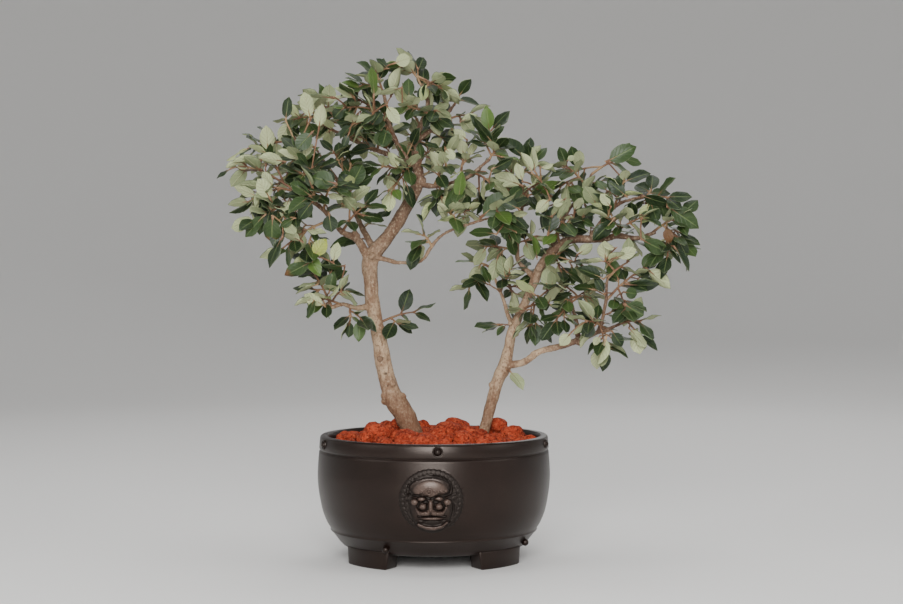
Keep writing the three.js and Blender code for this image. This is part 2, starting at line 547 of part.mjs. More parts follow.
// Twigs: the first runs from the bough to the spray's first tip, the others fork off it
function twigCurve(start, end) {
  const middle = start.clone().lerp(end, 0.5);
  middle.z += TWIG.bow * start.distanceTo(end);
  return new THREE.QuadraticBezierCurve3(start, middle, end);
}
function twigCurves({ on, at, tips }) {
  const stem = twigCurve(placeOn(ROUTES[on], at), vec(tips[0]));
  const forkPoint = (i) => stem.getPoint(TWIG.forkAt + i * TWIG.forkStep);
  return [stem, ...tips.slice(1).map((tip, i) => twigCurve(forkPoint(i), vec(tip)))];
}
// A twig's rings: its root, then the two ends of the collar at each node. Each collar is
// turned by the golden angle from the last one, less a third of a turn, as it has three faces.
function makeTwig(curve, order, number) {
  const thick = order ? TWIG.fork : TWIG.root;
  const long = curve.getLength();
  const half = NODES.collar / long / 2;
  const fitting = THREE.MathUtils.clamp(Math.round(long / NODES.spacing), NODES.least, NODES.most);
  const count = SPRAYS[number].single ? 1 : fitting;
  const end = 1 - half;
  const step = (end - NODES.first) / count;
  const places = Array.from({ length: count }, (_, i) => end - step * i).reverse();
  const spots = [0, ...places.flatMap((s) => [s - half, s + half])];
  const start = 2 * Math.PI * dice(number, order)();
  const collars = spots.map((_, i) => Math.floor(Math.max(i - 1, 0) / 2));
  const turns = collars.map((collar) => start + (GOLDEN_TURN - THIRD) * collar);
  const route = spots.map((s) => [...curve.getPoint(s).toArray(), thick + (TWIG.tip - thick) * s]);
  const rings = tubeRings(route, 3, 0, turns);
  return { curve, places, rings, whole: loft(rings) };
}

// Where a leaf grows and how it lies: its root, its own directions and its size
function leafPose(curve, s, facing, lean, seeds, end) {
  const next = dice(...seeds);
  const attempt = seeds.at(-1);
  const rolls = Array.from({ length: 6 }, () => 2 * next() - 1);
  const [turnDice, pitchDice, xDice, yDice, longDice, wideDice] = rolls;
  const along = curve.getTangent(s);
  const outward = facing.clone().addScaledVector(along, -facing.dot(along)).normalize();
  const sideways = along.clone().cross(outward);
  const turn = LEAF.stray * turnDice * (1 + attempt);
  const open = LEAF.open[0] + (LEAF.open[1] - LEAF.open[0]) * s + LEAF.openStray * pitchDice;
  const pitch = end ? LEAF.endOpen + LEAF.endStep * attempt : open;
  const direction = along.clone().multiplyScalar(Math.cos(pitch));
  direction.addScaledVector(outward, Math.sin(pitch) * Math.cos(turn));
  direction.addScaledVector(sideways, Math.sin(pitch) * Math.sin(turn));
  const [swayX, swayY, rise] = LEAF.face;
  const face = new THREE.Vector3(swayX * xDice, lean + swayY * yDice, rise);
  const side = direction.clone().cross(face).normalize();
  const normal = side.clone().cross(direction);
  const length = LEAF.length * (1 + LEAF.spread * longDice);
  const half = (length * LEAF.width * (1 + LEAF.widthStray * wideDice)) / 2;
  return { root: curve.getPoint(s), direction, side, normal, length, half };
}

// A leaf's blade, widest below its middle and arched back to a pointed tip. It starts from the
// four corners of its collar face, or as a loose blade, grown all round, that tests for room.
const CORNERS = [[-1, -1], [-1, 1], [1, 1], [1, -1]];
function bladeSpot({ root, direction, side, normal, length }, u, across, proud) {
  const point = root.clone().addScaledVector(direction, u * length).addScaledVector(side, across);
  return point.addScaledVector(normal, proud - LEAF.droop * length * u * u);
}
function bladeRing(pose, u, wide, grow = 0) {
  const [half, thick] = [wide * pose.half + grow, LEAF.thick / 2 + grow];
  return CORNERS.map(([x, z]) => bladeSpot(pose, u, x * half, z * thick));
}
function blade(pose, collar, grow = 0) {
  const { side, normal, length } = pose;
  const free = LEAF.free / length;
  const start = collar ?? bladeRing(pose, free, free / LEAF.widest, grow);
  const widest = bladeRing(pose, LEAF.widest, 1, grow);
  // the collar's corners run on to the nearest corners of the blade
  const centre = start.reduce((sum, p) => sum.add(p), new THREE.Vector3()).divideScalar(4);
  const fit = (shift) =>
    start.reduce((sum, p, k) => {
      const [x, z] = CORNERS[(k + shift) % 4];
      const arm = p.clone().sub(centre);
      return sum + x * arm.dot(side) + z * arm.dot(normal);
    }, 0);
  const shift = [0, 1, 2, 3].reduce((best, one) => (fit(one) > fit(best) ? one : best));
  const middle = widest.map((_, k) => widest[(k + shift) % 4]);
  return loft([start, middle, [bladeSpot(pose, 1 + grow / length, 0, 0)]]);
}

// What a new leaf must stay clear of, looked up by its bounding box first
class Crowd {
  constructor() {
    this.members = [];
  }
  add(one) {
    this.members.push({ one, box: one.boundingBox() });
  }
  touches(candidate) {
    const { min, max } = candidate.boundingBox();
    const near = ({ box }) => [0, 1, 2].every((i) => box.min[i] <= max[i] && box.max[i] >= min[i]);
    return this.members.some((member) => near(member) && !candidate.intersect(member.one).isEmpty());
  }
}

// The first leaf of a node takes a whole face of its collar, and the second the half of the
// next face that lies away from the first. A leaf keeps the first of its tries that stands
// proud of its own face and meets no wood, twig or leaf.
function leafAt(twig, seeds, lean, crowd) {
  const [, , node, leaf] = seeds;
  const [low, high] = [twig.rings[2 * node + 1], twig.rings[2 * node + 2]];
  const [k, after] = [(node + leaf) % 3, (node + leaf + 1) % 3];
  const collar = [low[k], low[after], high[after], leaf ? high[after] : high[k]];
  const place = twig.places[node];
  const facing = low[k].clone().add(low[after]).divideScalar(2).sub(twig.curve.getPoint(place));
  const ends = node === twig.places.length - 1 && leaf === 0;
  const outward = low[after].clone().sub(low[k]).cross(high[after].clone().sub(low[k])).normalize();
  const proud = (point) => point.clone().sub(low[k]).dot(outward) > LEAF.proud;
  for (let attempt = 0; attempt < LEAF.tries; attempt += 1) {
    const pose = leafPose(twig.curve, place, facing, lean, [...seeds, attempt], ends);
    if (!bladeRing(pose, LEAF.widest, 1).every(proud)) continue;
    if (!crowd.touches(blade(pose, undefined, LEAF.clear))) return blade(pose, collar);
  }
  return undefined;
}

function makeSprays(crowd, stems) {
  const twigs = SPRAYS.map((spray, number) =>
    twigCurves(spray).map((curve, order) => makeTwig(curve, order, number)),
  );
  twigs.flat().forEach(({ whole }) => crowd.add(whole));
  return SPRAYS.map(({ name, lean, single }, number) => {
    const grown = twigs[number].map(({ whole }) => whole);
    twigs[number].forEach((twig, order) => {
      for (let node = 0; node < twig.places.length; node += 1) {
        for (let leaf = 0; leaf < (single ? 1 : NODES.leaves); leaf += 1) {
          const made = leafAt(twig, [number, order, node, leaf], lean, crowd);
          if (!made) continue;
          grown.push(made);
          crowd.add(made);
        }
      }
    });
    return { name, whole: largest(joined(grown).subtract(stems)) };
  });
}

// The whole plant in its pot
const trees = Object.entries(TREES).map(([name, tree]) => ({ name, parts: woodParts(tree) }));
const crowd = new Crowd();
const allParts = trees.flatMap(({ parts }) => parts);
allParts.forEach(({ route, sides }) => crowd.add(tube(route, sides)));
const stems = joined(allParts.map(({ route, sides }) => tube(route, sides, GAP)));

const material = (color, roughness) => new THREE.MeshStandardMaterial({ color, roughness, metalness: 0 });
const CLAY = material(0x33241d, 0.55);
const PLASTIC = material(0x1d1f1e, 0.6);
const EARTH = material(0x4a3526, 0.95);
const LAVA = material(0xb4452c, 0.95);
const BARK = material(0x8a7562, 0.85);
const FOLIAGE = material(0x4c6b3c, 0.5);

const model = new THREE.Group();
model.add(meshOf("pot", makePot(), CLAY));
model.add(meshOf("drain_screen", makeScreen(), PLASTIC));
model.add(meshOf("soil", makeSoil(stems), EARTH));
model.add(meshOf("lava_bed", makeLava(stems), LAVA));
trees.forEach(({ name, parts }) => {
  model.add(meshOf(name, joined(parts.map(({ route, sides }) => tube(route, sides))), BARK));
});
makeSprays(crowd, stems).forEach(({ name, whole }) => model.add(meshOf(name, whole, FOLIAGE)));

// The origin is below the middle of the whole plant, on the surface that it stands on
const bounds = new THREE.Box3().setFromObject(model);
const middle = bounds.getCenter(new THREE.Vector3());
model.position.set(-middle.x, -middle.y, -bounds.min.z);
model.updateMatrixWorld(true);

export default model;
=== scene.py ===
import math

import bmesh
import bpy
import numpy as np
from mathutils import Matrix, Vector, kdtree, noise


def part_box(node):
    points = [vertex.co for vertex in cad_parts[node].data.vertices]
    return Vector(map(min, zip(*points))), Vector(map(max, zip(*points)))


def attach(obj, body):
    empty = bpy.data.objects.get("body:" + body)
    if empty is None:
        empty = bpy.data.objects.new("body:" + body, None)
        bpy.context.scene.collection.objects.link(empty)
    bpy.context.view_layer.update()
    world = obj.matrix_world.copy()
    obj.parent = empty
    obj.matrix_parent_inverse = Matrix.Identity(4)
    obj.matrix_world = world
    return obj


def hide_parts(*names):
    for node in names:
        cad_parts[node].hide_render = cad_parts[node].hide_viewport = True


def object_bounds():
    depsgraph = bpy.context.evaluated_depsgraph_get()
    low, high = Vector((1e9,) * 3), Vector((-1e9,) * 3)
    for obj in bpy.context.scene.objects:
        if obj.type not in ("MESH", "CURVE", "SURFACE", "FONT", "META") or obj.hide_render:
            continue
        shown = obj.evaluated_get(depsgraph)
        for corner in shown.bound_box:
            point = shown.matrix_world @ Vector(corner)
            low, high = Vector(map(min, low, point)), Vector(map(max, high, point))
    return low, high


# The looks of a cotoneaster bonsai: two slim trees in a round pot of dark, unglazed clay,
# with red lava stones on the soil. Shapes are drawn in millimetres about the pot's axis,
# with the front towards -Y, and moved to their place in metres when they are finished.
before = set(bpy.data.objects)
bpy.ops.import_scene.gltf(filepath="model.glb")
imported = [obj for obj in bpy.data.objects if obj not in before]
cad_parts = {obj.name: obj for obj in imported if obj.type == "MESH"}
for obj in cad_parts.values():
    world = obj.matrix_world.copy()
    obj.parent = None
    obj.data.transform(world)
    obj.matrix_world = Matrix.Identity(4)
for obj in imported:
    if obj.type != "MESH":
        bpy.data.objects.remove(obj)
cad_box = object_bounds()

MM = 0.001
POT_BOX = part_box("pot")
POT_MIDDLE = (POT_BOX[0] + POT_BOX[1]) / 2
TO_PLACE = Matrix.Translation((POT_MIDDLE.x, POT_MIDDLE.y, 0)) @ Matrix.Scale(MM, 4)
FROM_PLACE = TO_PLACE.inverted()

# Camera: where it stands from the pot's axis, and how it is turned
CAMERA = {"spot": (1.87, -1570, 248.5), "pitch": 0.95, "yaw": 0.49, "lens": 71.96, "sensor": 36}
PHOTO = {"width": 903, "height": 604}

# Pot
RIM_HEIGHT = 107.3
FLOOR_TOP = 19
FOOT_HEIGHT = 12.5
# How many faces go round it, how fine its curves are, and how far the wall wanders from true
POT = {
    "turns": 168, "belly_step": 2.4, "inside_step": 6, "wander": 0.35, "wander_fine": 0.018,
    "wander_flat": 2,
}
# The wall's outside as (radius, height): its flare, its belly, and its groove and rim band
FLARE = [
    (77.5, FOOT_HEIGHT), (79.2, 13.4), (82.5, 17), (88.2, 24.3), (89.3, 25.1), (89.9, 25.9), (89.7, 27),
]
BELLY = [
    (89.9, 27.6), (93.2, 33), (96.8, 42), (98.9, 52), (100.3, 62), (100.9, 73), (100.6, 84), (100, 92.4),
]
BAND = [
    (99.9, 93.6), (99.2, 94.3), (98.9, 94.9), (99.1, 95.6), (99.7, 96.1), (99.9, 96.8), (99, 105.4),
    (98.5, 106.6), (97.5, RIM_HEIGHT),
]
INSIDE = [
    (93.2, RIM_HEIGHT), (92.3, 106.8), (91.9, 105.6), (93.4, 60), (87, 35), (78, 23.5), (70, FLOOR_TOP),
]
DRAIN = [(9, FLOOR_TOP), (8.2, 18.4), (8, 17.6), (8, 13.6), (8.3, 12.9), (9, FOOT_HEIGHT)]
FOOT = {
    "outer": 81, "inner": 63, "half": 19, "centre": 47, "top": 15.5, "taper": 0.09, "round": 1.3,
    "round_steps": 3, "cuts": 13,
}
STUDS = {"count": 5, "first": 1.8, "height": 101.5, "stand": 99.6, "turns": 28, "root": -2}
# A nail head and the ring about it, as (radius, how far it stands out)
STUD_LINE = [
    (0, 2.6), (1, 2.4), (1.8, 1.9), (2.4, 1.1), (2.6, 0.25), (2.9, 0.05), (3.2, 0.3), (3.5, 0.85),
    (3.9, 0.9), (4.3, 0.5), (4.5, -0.4), (4.5, STUDS["root"]),
]
BEADS = {"height": 18, "stand": 85.2, "radius": 3, "turns": 20, "rings": 12}
MASK = {
    "radius": 27.6, "height": 61.2, "azimuth": -1.2, "rings": 88, "spokes": 280, "sunk": 1.2, "root": 4,
    "plate": 1.7, "plate_bend": 6,
}

# Soil and stones
SOIL = {"top": 97, "radius": 91.2, "floor": 32, "rings": 30, "turns": 96, "slack": 0.5, "clear": 0.4}
# The noises of a rough surface, each as (how fine, how strong)
SOIL_CRUMBS = [(0.35, 0.9), (0.9, 0.5)]
GRIT_CRUMBS = [(0.3, 1), (0.8, 0.6)]
BED = {"radius": 91, "edge": 103.5, "crown": 108.5, "rings": 5, "spokes": 18}
STONES = {
    "count": 16, "radius": (7.5, 10), "reach": 0.82, "start": 0.7, "lift": 1, "slim": 0.97, "detail": 3,
    "seed": 11,
}
# A stone's sizes and turns by its axes, its crags as (how fine, how strong), and its pits
STONE_FORM = {"size": ((0.95, 1.2), (0.9, 1.1), (0.72, 0.9)), "turn": 0.6}
CRAGS = {"rough": ((1.5, 0.17), (3.4, 0.085)), "pit_fine": 6.5, "pit_edge": 0.12, "pit_deep": 0.16}
BIG_STONES = [
    (-47, -28, 111, 10.5), (-72, -18, 105.5, 7.6), (-30, -30, 108, 7.5), (11, -24, 111, 12),
    (31, -22, 109.5, 9), (57, 12, 113.5, 8.5), (68, -12, 109, 8.8), (-6, -44, 105.5, 8),
    (46, -46, 105, 8.2), (-30, 26, 112, 10), (20, 30, 112, 11),
]
# The small stones between them: how deep each sinks, how its height strays, how near it may come to
# a trunk or another stone, by their sizes
FILL_STONES = {
    "count": 150, "radius": (4.6, 7.4), "start": 0.5, "turn": 0.4, "edge": 0.5, "sink": 0.2, "stray": 1.2,
    "trunk": 0.75, "crowd": 0.52, "detail": 2, "seed": 23,
}
GRIT = {"radius": 90.5, "drop": 3.2, "rough": 1.2, "rings": 34, "spokes": 110, "bottom": 0.6}

# Trunks and boughs: each point is (x, y, z, radius)
ROUTES = {
    "left_trunk": [
        (-11.2, 5, 75.7, 8.2), (-18.2, 4, 105.5, 9.2), (-26, 3, 123.9, 9.5), (-33, 2, 135.3, 9.3),
        (-38.6, 0, 148.5, 7.8), (-44.2, -2, 171.2, 7.1), (-47.6, -3, 193.8, 6.7), (-52.4, -4, 216.4, 6.3),
        (-54.5, -4, 239, 6.4), (-55.4, -4, 255.4, 7.2), (-51.1, -4, 265.9, 6.7), (-40.7, -3, 278.9, 6),
        (-29, -1, 295.4, 5.8), (-19.9, 2, 312.1, 5.5), (-14.7, 4, 324.4, 5.4), (-13, 5, 335.8, 4.6),
        (-16.5, 5, 350.6, 3.5), (-15.6, 6, 363.8, 3), (-12.1, 7, 374.3, 2.6), (-7.7, 8, 386.6, 2.2),
        (-6, 8, 398.9, 1.9), (-11.2, 4, 412.4, 1.5),
    ],
    "low_left_bough": [
        (-56.2, -5, 257.2, 4.4), (-62.1, -10, 271.8, 3.8), (-68.7, -16, 278.6, 3.2),
        (-78.6, -24, 282.8, 2.7), (-86, -30, 292, 2.4), (-95.9, -36, 302.9, 2.2), (-109.2, -40, 311.2, 2),
        (-121.7, -42, 317.9, 1.6),
    ],
    "back_left_bough": [
        (-52, -2, 267.6, 3.4), (-61.8, 4, 286, 2.7), (-68.2, 11, 299.3, 2.5), (-75.6, 19, 313.6, 2.3),
        (-84.8, 27, 328.1, 2.1), (-95.8, 33, 343.5, 1.8), (-104.9, 36, 358.8, 1.5),
    ],
    "left_shelf": [
        (-56.2, -5, 219, 3.2), (-68.1, -11, 217.4, 2.5), (-78.2, -16, 220.1, 2.2), (-88.2, -22, 217.6, 1.8),
    ],
    "long_right_bough": [
        (-51.9, -6, 261.5, 3), (-41.3, -10, 259.7, 2.3), (-29.2, -14, 257.1, 1.9), (-11.9, -19, 258.8, 1.7),
        (-3.3, -22, 268.2, 1.7), (5.3, -25, 277.6, 1.6), (19, -28, 285.2, 1.6), (34.3, -31, 291.1, 1.5),
        (50.4, -33, 295.3, 1.2),
    ],
    "crown_left_stem": [
        (-13.8, 4, 337.4, 3.2), (-24.2, -3, 347.5, 2.7), (-32.7, -9, 360.9, 2.4), (-39.5, -14, 377.8, 2.1),
        (-42.8, -18, 400.7, 1.6),
    ],
    "crown_back_bough": [
        (-13.8, 6, 335.8, 3.2), (-28, 14, 345, 2.8), (-45.8, 22, 354.3, 2.4), (-65.5, 30, 362.8, 2.1),
        (-83.5, 35, 372.1, 1.8), (-99.7, 38, 380.3, 1.5),
    ],
    "crown_right_bough": [
        (-14.7, 4, 326.1, 3), (0.1, -4, 323.1, 2.5), (17.4, -12, 325.3, 2.2), (33.7, -18, 333.6, 1.9),
        (48.2, -23, 345.3, 1.5),
    ],
    "crown_top_right": [
        (-15.6, 6, 362, 2.6), (-3.4, 14, 371.4, 2.2), (8.9, 22, 382.6, 1.9), (18.7, 27, 397.1, 1.5),
    ],
    "right_trunk": [
        (31.5, 2, 72.6, 5.3), (38.4, 1, 95.3, 5), (43.6, 0, 111.1, 4.9), (47.1, 0, 124.1, 5),
        (51.4, 0, 140.6, 5.4), (55.8, -1, 155.5, 5.7), (61.4, -1, 166.8, 6), (64.9, 0, 181.5, 4.8),
        (67.6, 2, 195.4, 4.5), (74.2, 4, 210.1, 4), (80.4, 5, 224.1, 3.8), (84.8, 5, 234.5, 3.8),
        (89.1, 4, 244.1, 4.1), (93.3, 1, 254.6, 4.1), (100.8, -3, 265, 4.2), (110.1, -7, 272.7, 3.9),
        (120.2, -11, 277, 3.8), (133.7, -15, 276.9, 3.4), (146.3, -18, 276.9, 3.1),
        (158.1, -21, 279.4, 2.7), (173.2, -24, 277.6, 2.3), (189.9, -27, 282.7, 1.8),
    ],
    "low_right_bough": [
        (61.8, -2, 167.7, 3.9), (70.4, -5, 168.7, 3.5), (78, -8, 170.6, 3.3), (89, -12, 177.7, 3.1),
        (102.6, -16, 183.1, 2.9), (115.2, -20, 186.7, 2.9), (125.3, -23, 190.2, 3.1),
        (139.5, -27, 196.4, 2.1), (151.2, -30, 200.7, 1.8), (160.4, -32, 205, 1.5),
    ],
    "stub_shoot": [
        (124.5, -22, 190.2, 2.8), (123.2, -17, 199.5, 2.4), (120.3, -10, 214.8, 2), (118.8, -6, 228.6, 1.5),
    ],
    "upright_left_stem": [
        (88.3, 5, 242.4, 3), (80.7, 10, 250.3, 2.4), (73.8, 14, 259.9, 2.1), (74.6, 12, 280.1, 1.9),
        (77.1, 8, 298.3, 1.7), (77.6, 2, 323.4, 1.3),
    ],
    "thin_left_twig": [
        (69.8, 3, 200.6, 2.6), (64, 10, 212.6, 2), (59, 16, 230, 1.7), (53.8, 20, 243.2, 1.5),
        (48.6, 23, 253.8, 1.2),
    ],
    "back_right_bough": [
        (100, -2, 264.1, 2.8), (106.8, 8, 280, 2.3), (116.1, 16, 297.7, 2), (126.2, 22, 312, 1.8),
        (134.4, 25, 324.5, 1.6), (139.8, 26, 336, 1.3),
    ],
    "upper_right_twig": [
        (134.5, -16, 276.9, 2.6), (144.3, -21, 292.3, 2.1), (156.8, -25, 305, 1.8), (172, -27, 311.8, 1.4),
    ],
    "right_upshoot": [
        (140.4, -27, 196.4, 2.2), (144.3, -31, 211, 1.8), (146.6, -33, 228.1, 1.6), (148.2, -34, 245.1, 1.2),
    ],
}
TREES = {
    "left_wood": {
        "trunk": "left_trunk",
        "boughs": [
            "low_left_bough", "back_left_bough", "left_shelf", "long_right_bough", "crown_left_stem",
            "crown_back_bough", "crown_right_bough", "crown_top_right",
        ],
        "roots": [95, 150, 205, 262],
    },
    "right_wood": {
        "trunk": "right_trunk",
        "boughs": [
            "low_right_bough", "stub_shoot", "upright_left_stem", "thin_left_twig", "back_right_bough",
            "upper_right_twig", "right_upshoot",
        ],
        "roots": [-80, -28, 25, 78],
    },
}
# A root's course as (distance out, height, radius)
ROOT_STEPS = [(0, 82, 4.4), (12, 76, 3.6), (30, 50, 1.6)]

# Leafy sprays: name, the bough that it grows from, where on it (counted in points along the
# route), how far its blades' faces tip to the back, where its twigs end, and True where the
# spray is one leaf
SPRAYS = [
    ("crown_top", "left_trunk", 20.8, 0.8, [(-21.6, 2, 427), (0, 12, 411), (10, 2, 404)]),
    ("crown_left_tip", "crown_left_stem", 3.9, -0.5, [(-49.5, -24, 418.1), (-62.9, -12, 409)]),
    ("crown_left_side", "crown_left_stem", 3.0, 0.0, [(-71.8, -6, 401), (-74.4, -24, 389)]),
    ("crown_left_front", "crown_left_stem", 2.3, -0.4, [(-51.5, -40, 382.4), (-68.3, -44, 373.6)]),
    ("top_right_end", "crown_top_right", 2.9, -0.5, [(22, 32, 404), (8, 42, 400)]),
    ("top_right_side", "crown_top_right", 1.8, 0.7, [(30, 16, 386.5), (16.1, 32, 375.4)]),
    ("crown_front", "left_trunk", 18.6, 0.5, [(2, -12, 388), (-27, -18, 391)]),
    ("back_bough_end", "crown_back_bough", 4.9, 0.7, [(-111.9, 34, 394.2), (-127.1, 24, 381.8)]),
    ("back_bough_top", "crown_back_bough", 3.4, 0.2, [(-101, 38, 399), (-104, 54, 381)]),
    ("back_bough_mid", "crown_back_bough", 2.2, -0.2, [(-47.2, 42, 386.9), (-64.9, 58, 375.7)]),
    ("far_left_end", "back_left_bough", 5.9, 0.0, [(-126.3, 26, 367.9), (-160.7, 8, 356.9)]),
    ("far_left_side", "back_left_bough", 5.0, 0.1, [(-149.6, 38, 346.5), (-131, 50, 337.4)]),
    ("far_left_up", "back_left_bough", 3.3, -0.2, [(-72.7, 14, 342.4), (-87.1, 4, 353.1)]),
    ("low_left_end", "low_left_bough", 6.9, 0.7, [(-143, -50, 319.2), (-157.1, -36, 308)]),
    ("low_left_out", "low_left_bough", 6.2, 0.8, [(-158.3, -32, 338), (-142.2, -22, 350.6)]),
    ("low_left_under", "low_left_bough", 5.8, -0.9, [(-150, -54, 292), (-125.4, -68, 288)]),
    ("low_left_up", "low_left_bough", 5.5, -0.4, [(-115.3, -38, 350.4), (-102.1, -56, 335.7)]),
    ("low_left_front", "low_left_bough", 4.8, -0.9, [(-85.6, -66, 321.8), (-103.7, -70, 310.8)]),
    ("low_left_drop", "low_left_bough", 4.1, 0.3, [(-127, -56, 268), (-108, -44, 263)]),
    ("low_left_mid", "low_left_bough", 3.0, -0.3, [(-58.9, -46, 304.2), (-71, -40, 319.7)]),
    ("shelf_up", "left_shelf", 2.9, -0.5, [(-107, -30, 255), (-86.5, -22, 241)]),
    ("shelf_left", "left_shelf", 2.1, 0.4, [(-101.4, -42, 226), (-79, -38, 232.3)]),
    ("shelf_drop", "left_shelf", 1.4, 0.0, [(-72, -18, 206), (-62, -28, 208)]),
    ("trunk_shoot", "left_trunk", 6.4, -0.5, [(-17.4, 8, 213.5), (-31, -8, 203.5)]),
    ("leader_front", "left_trunk", 14.4, 0.4, [(-44, -34, 338), (-36, -34, 316)]),
    ("leader_back", "left_trunk", 15.5, 0.4, [(-0.8, 38, 356.3), (-20.3, 34, 370.2)]),
    ("crown_right_first", "crown_right_bough", 1.0, 0.7, [(10.4, -28, 339.9), (6.2, -22, 312.8)]),
    ("crown_right_mid", "crown_right_bough", 2.3, 0.4, [(27.9, -6, 356.8), (23.9, -40, 318)]),
    ("crown_right_end", "crown_right_bough", 3.9, -0.3, [(54, -26, 353.7), (40.6, -16, 366.4)]),
    ("crown_right_low", "crown_right_bough", 3.0, 0.5, [(47.7, -38, 324), (39, -10, 313.3)]),
    ("long_right_first", "long_right_bough", 4.2, -0.2, [(-8.4, -30, 280.1), (-15.3, -22, 270.8)]),
    ("long_right_up", "long_right_bough", 6.0, 0.4, [(12.9, -42, 299.3), (28.5, -20, 304.3)]),
    ("long_right_end", "long_right_bough", 7.9, -0.9, [(62.7, -44, 303.5), (65.9, -30, 286.9)]),
    ("left_stem_top", "upright_left_stem", 4.9, 0.6, [(61, -4, 338), (85.5, -14, 342.5)]),
    ("left_stem_mid", "upright_left_stem", 4.0, 0.3, [(59.8, -10, 324.6), (91.5, -30, 325)]),
    ("left_stem_low", "upright_left_stem", 2.3, 0.6, [(46, 26, 271), (87, -14, 276)]),
    ("thin_twig_end", "thin_left_twig", 3.9, 0.0, [(37.4, 34, 257.4), (31, 26, 234.4)]),
    ("thin_twig_mid", "thin_left_twig", 2.1, 0.5, [(66, 6, 247), (72, 28, 229)]),
    ("back_right_end", "back_right_bough", 4.9, -0.7, [(166, 26, 349), (126, 36, 338)]),
    ("back_right_top", "back_right_bough", 4.0, 0.3, [(116, 14, 341.5), (110, 4, 322.6)]),
    ("back_right_mid", "back_right_bough", 2.6, 0.0, [(151, 42, 315.5), (99.5, 32, 306.2)]),
    ("upper_right_end", "upper_right_twig", 2.9, -0.5, [(202.6, -28, 311.7), (183, -14, 308)]),
    ("upper_right_mid", "upper_right_twig", 1.8, -0.3, [(161.6, -36, 325.8), (150, -6, 318.7)]),
    ("right_end", "right_trunk", 20.8, -0.5, [(211.2, -34, 297), (215.4, -22, 271.7), (198, -44, 262)]),
    ("right_mid_top", "right_trunk", 18.4, 0.3, [(175, -46, 294.1), (147.9, -38, 295.2)]),
    ("right_mid_first", "right_trunk", 14.9, -0.3, [(100.1, -28, 295.5), (127.6, -26, 295.5)]),
    ("upshoot_end", "right_upshoot", 2.9, 0.5, [(165.3, -34, 257), (144.7, -44, 257.8)]),
    ("upshoot_mid", "right_upshoot", 1.7, -0.6, [(179, -26, 251), (162, -48, 217)]),
    ("low_right_end", "low_right_bough", 8.9, -0.3, [(175, -38, 206.9), (174.7, -26, 193.8)]),
    ("low_right_hang", "low_right_bough", 7.7, 0.4, [(129.2, -48, 207.2), (146.3, -40, 181.4)]),
    ("stub_end", "stub_shoot", 2.8, 0.6, [(133.9, -22, 227.1), (110, 6, 238), (104.3, -30, 207.5)]),
    ("low_shoot", "right_trunk", 5.7, -0.9, [(66, -12, 163)], True),
    ("trunk_fill", "right_trunk", 9.4, 0.3, [(99, -18, 221), (104.5, -26, 236.5), (84, -22, 204)]),
    ("right_under", "right_trunk", 14.2, 0.2, [(108.7, -28, 248.5), (132.9, -14, 250.2)]),
]
TWIG = {
    "root": 1.3, "fork": 1, "tip": 0.65, "bow": 0.12, "fork_at": 0.34, "fork_step": 0.14, "cuts": 200,
}
LEAF = {
    "length": 20.5, "spread": 0.22, "width": 0.54, "width_stray": 0.1, "droop": 0.13, "open": (1.25, 0.8),
    "open_stray": 0.2, "end_open": 0.45, "end_step": 0.1, "stray": 0.3, "face": (0.45, 0.45, 0.8),
    "tries": 10, "found": 0.05,
}
NODES = {"spacing": 16, "least": 2, "most": 3, "first": 0.32, "collar": 2, "leaves": 2}
# The stems as they are finished: their swelling at each leafy place, and how crooked they are
STEM = {
    "slim": 0.95, "sides": 6, "node": ((-0.045, 1), (0, 1.32), (0.04, 1)), "end": 0.9, "cuts": 5,
    "shift": -0.02, "crook": 0.9, "crook_scale": (0.35, 0.3), "apart": 9,
}
# The buds at the ends and at the nodes: their radius and form, and how far out of the twig they sit
BUD = {"end": 0.8, "side": 0.6, "form": (0.62, 0.62, 1.5), "seat": 0.5}
# How clear a new leaf stays of the others, measured at some places along its blade, and of the
# edge of the whole plant
ROOM = {"samples": (0.2, 0.45, 0.7, 0.95), "clear": 4.1, "edge": 1}
# Smaller leaves between the nodes: how far back from a node they grow, and how large
FILLING = {"back": 0.12, "first": 0.08, "size": 0.9, "tries": 4, "seed": 7}
# Short side shoots of the twigs, with each leaf's place and size, and spurs of the young wood
SHOOTS = {
    "spots": (0.35, 0.66), "long": 9, "stray": (0.7, 1.2), "open": (0.5, 1.2), "tries": 6, "thick": 0.7,
    "taper": 0.3, "nodes": (0.5, 0.9), "leaves": ((1, 1), (0.8, 0.95), (0.55, 0.8)), "lean": (0.7, -0.3),
    "turn": 6, "turned": 0.13, "seed": 40,
}
# The sprays that bear only their own leaves, where the crown is thin
THIN_SPRAYS = (
    "trunk_shoot", "top_right_end", "top_right_side", "back_right_end", "upper_right_mid", "low_right_end",
    "upshoot_end", "thin_twig_end", "shelf_drop", "long_right_first", "crown_right_low",
)
SPURS = {
    "step": 14, "thickest": 3.3, "long": 13, "lean": (-0.9, 0.3),
    "seed": 77, "lean_seed": 3, "look_seed": 17,
    "bare": ("low_right_bough", "long_right_bough", "low_left_bough", "left_shelf", "stub_shoot"),
}
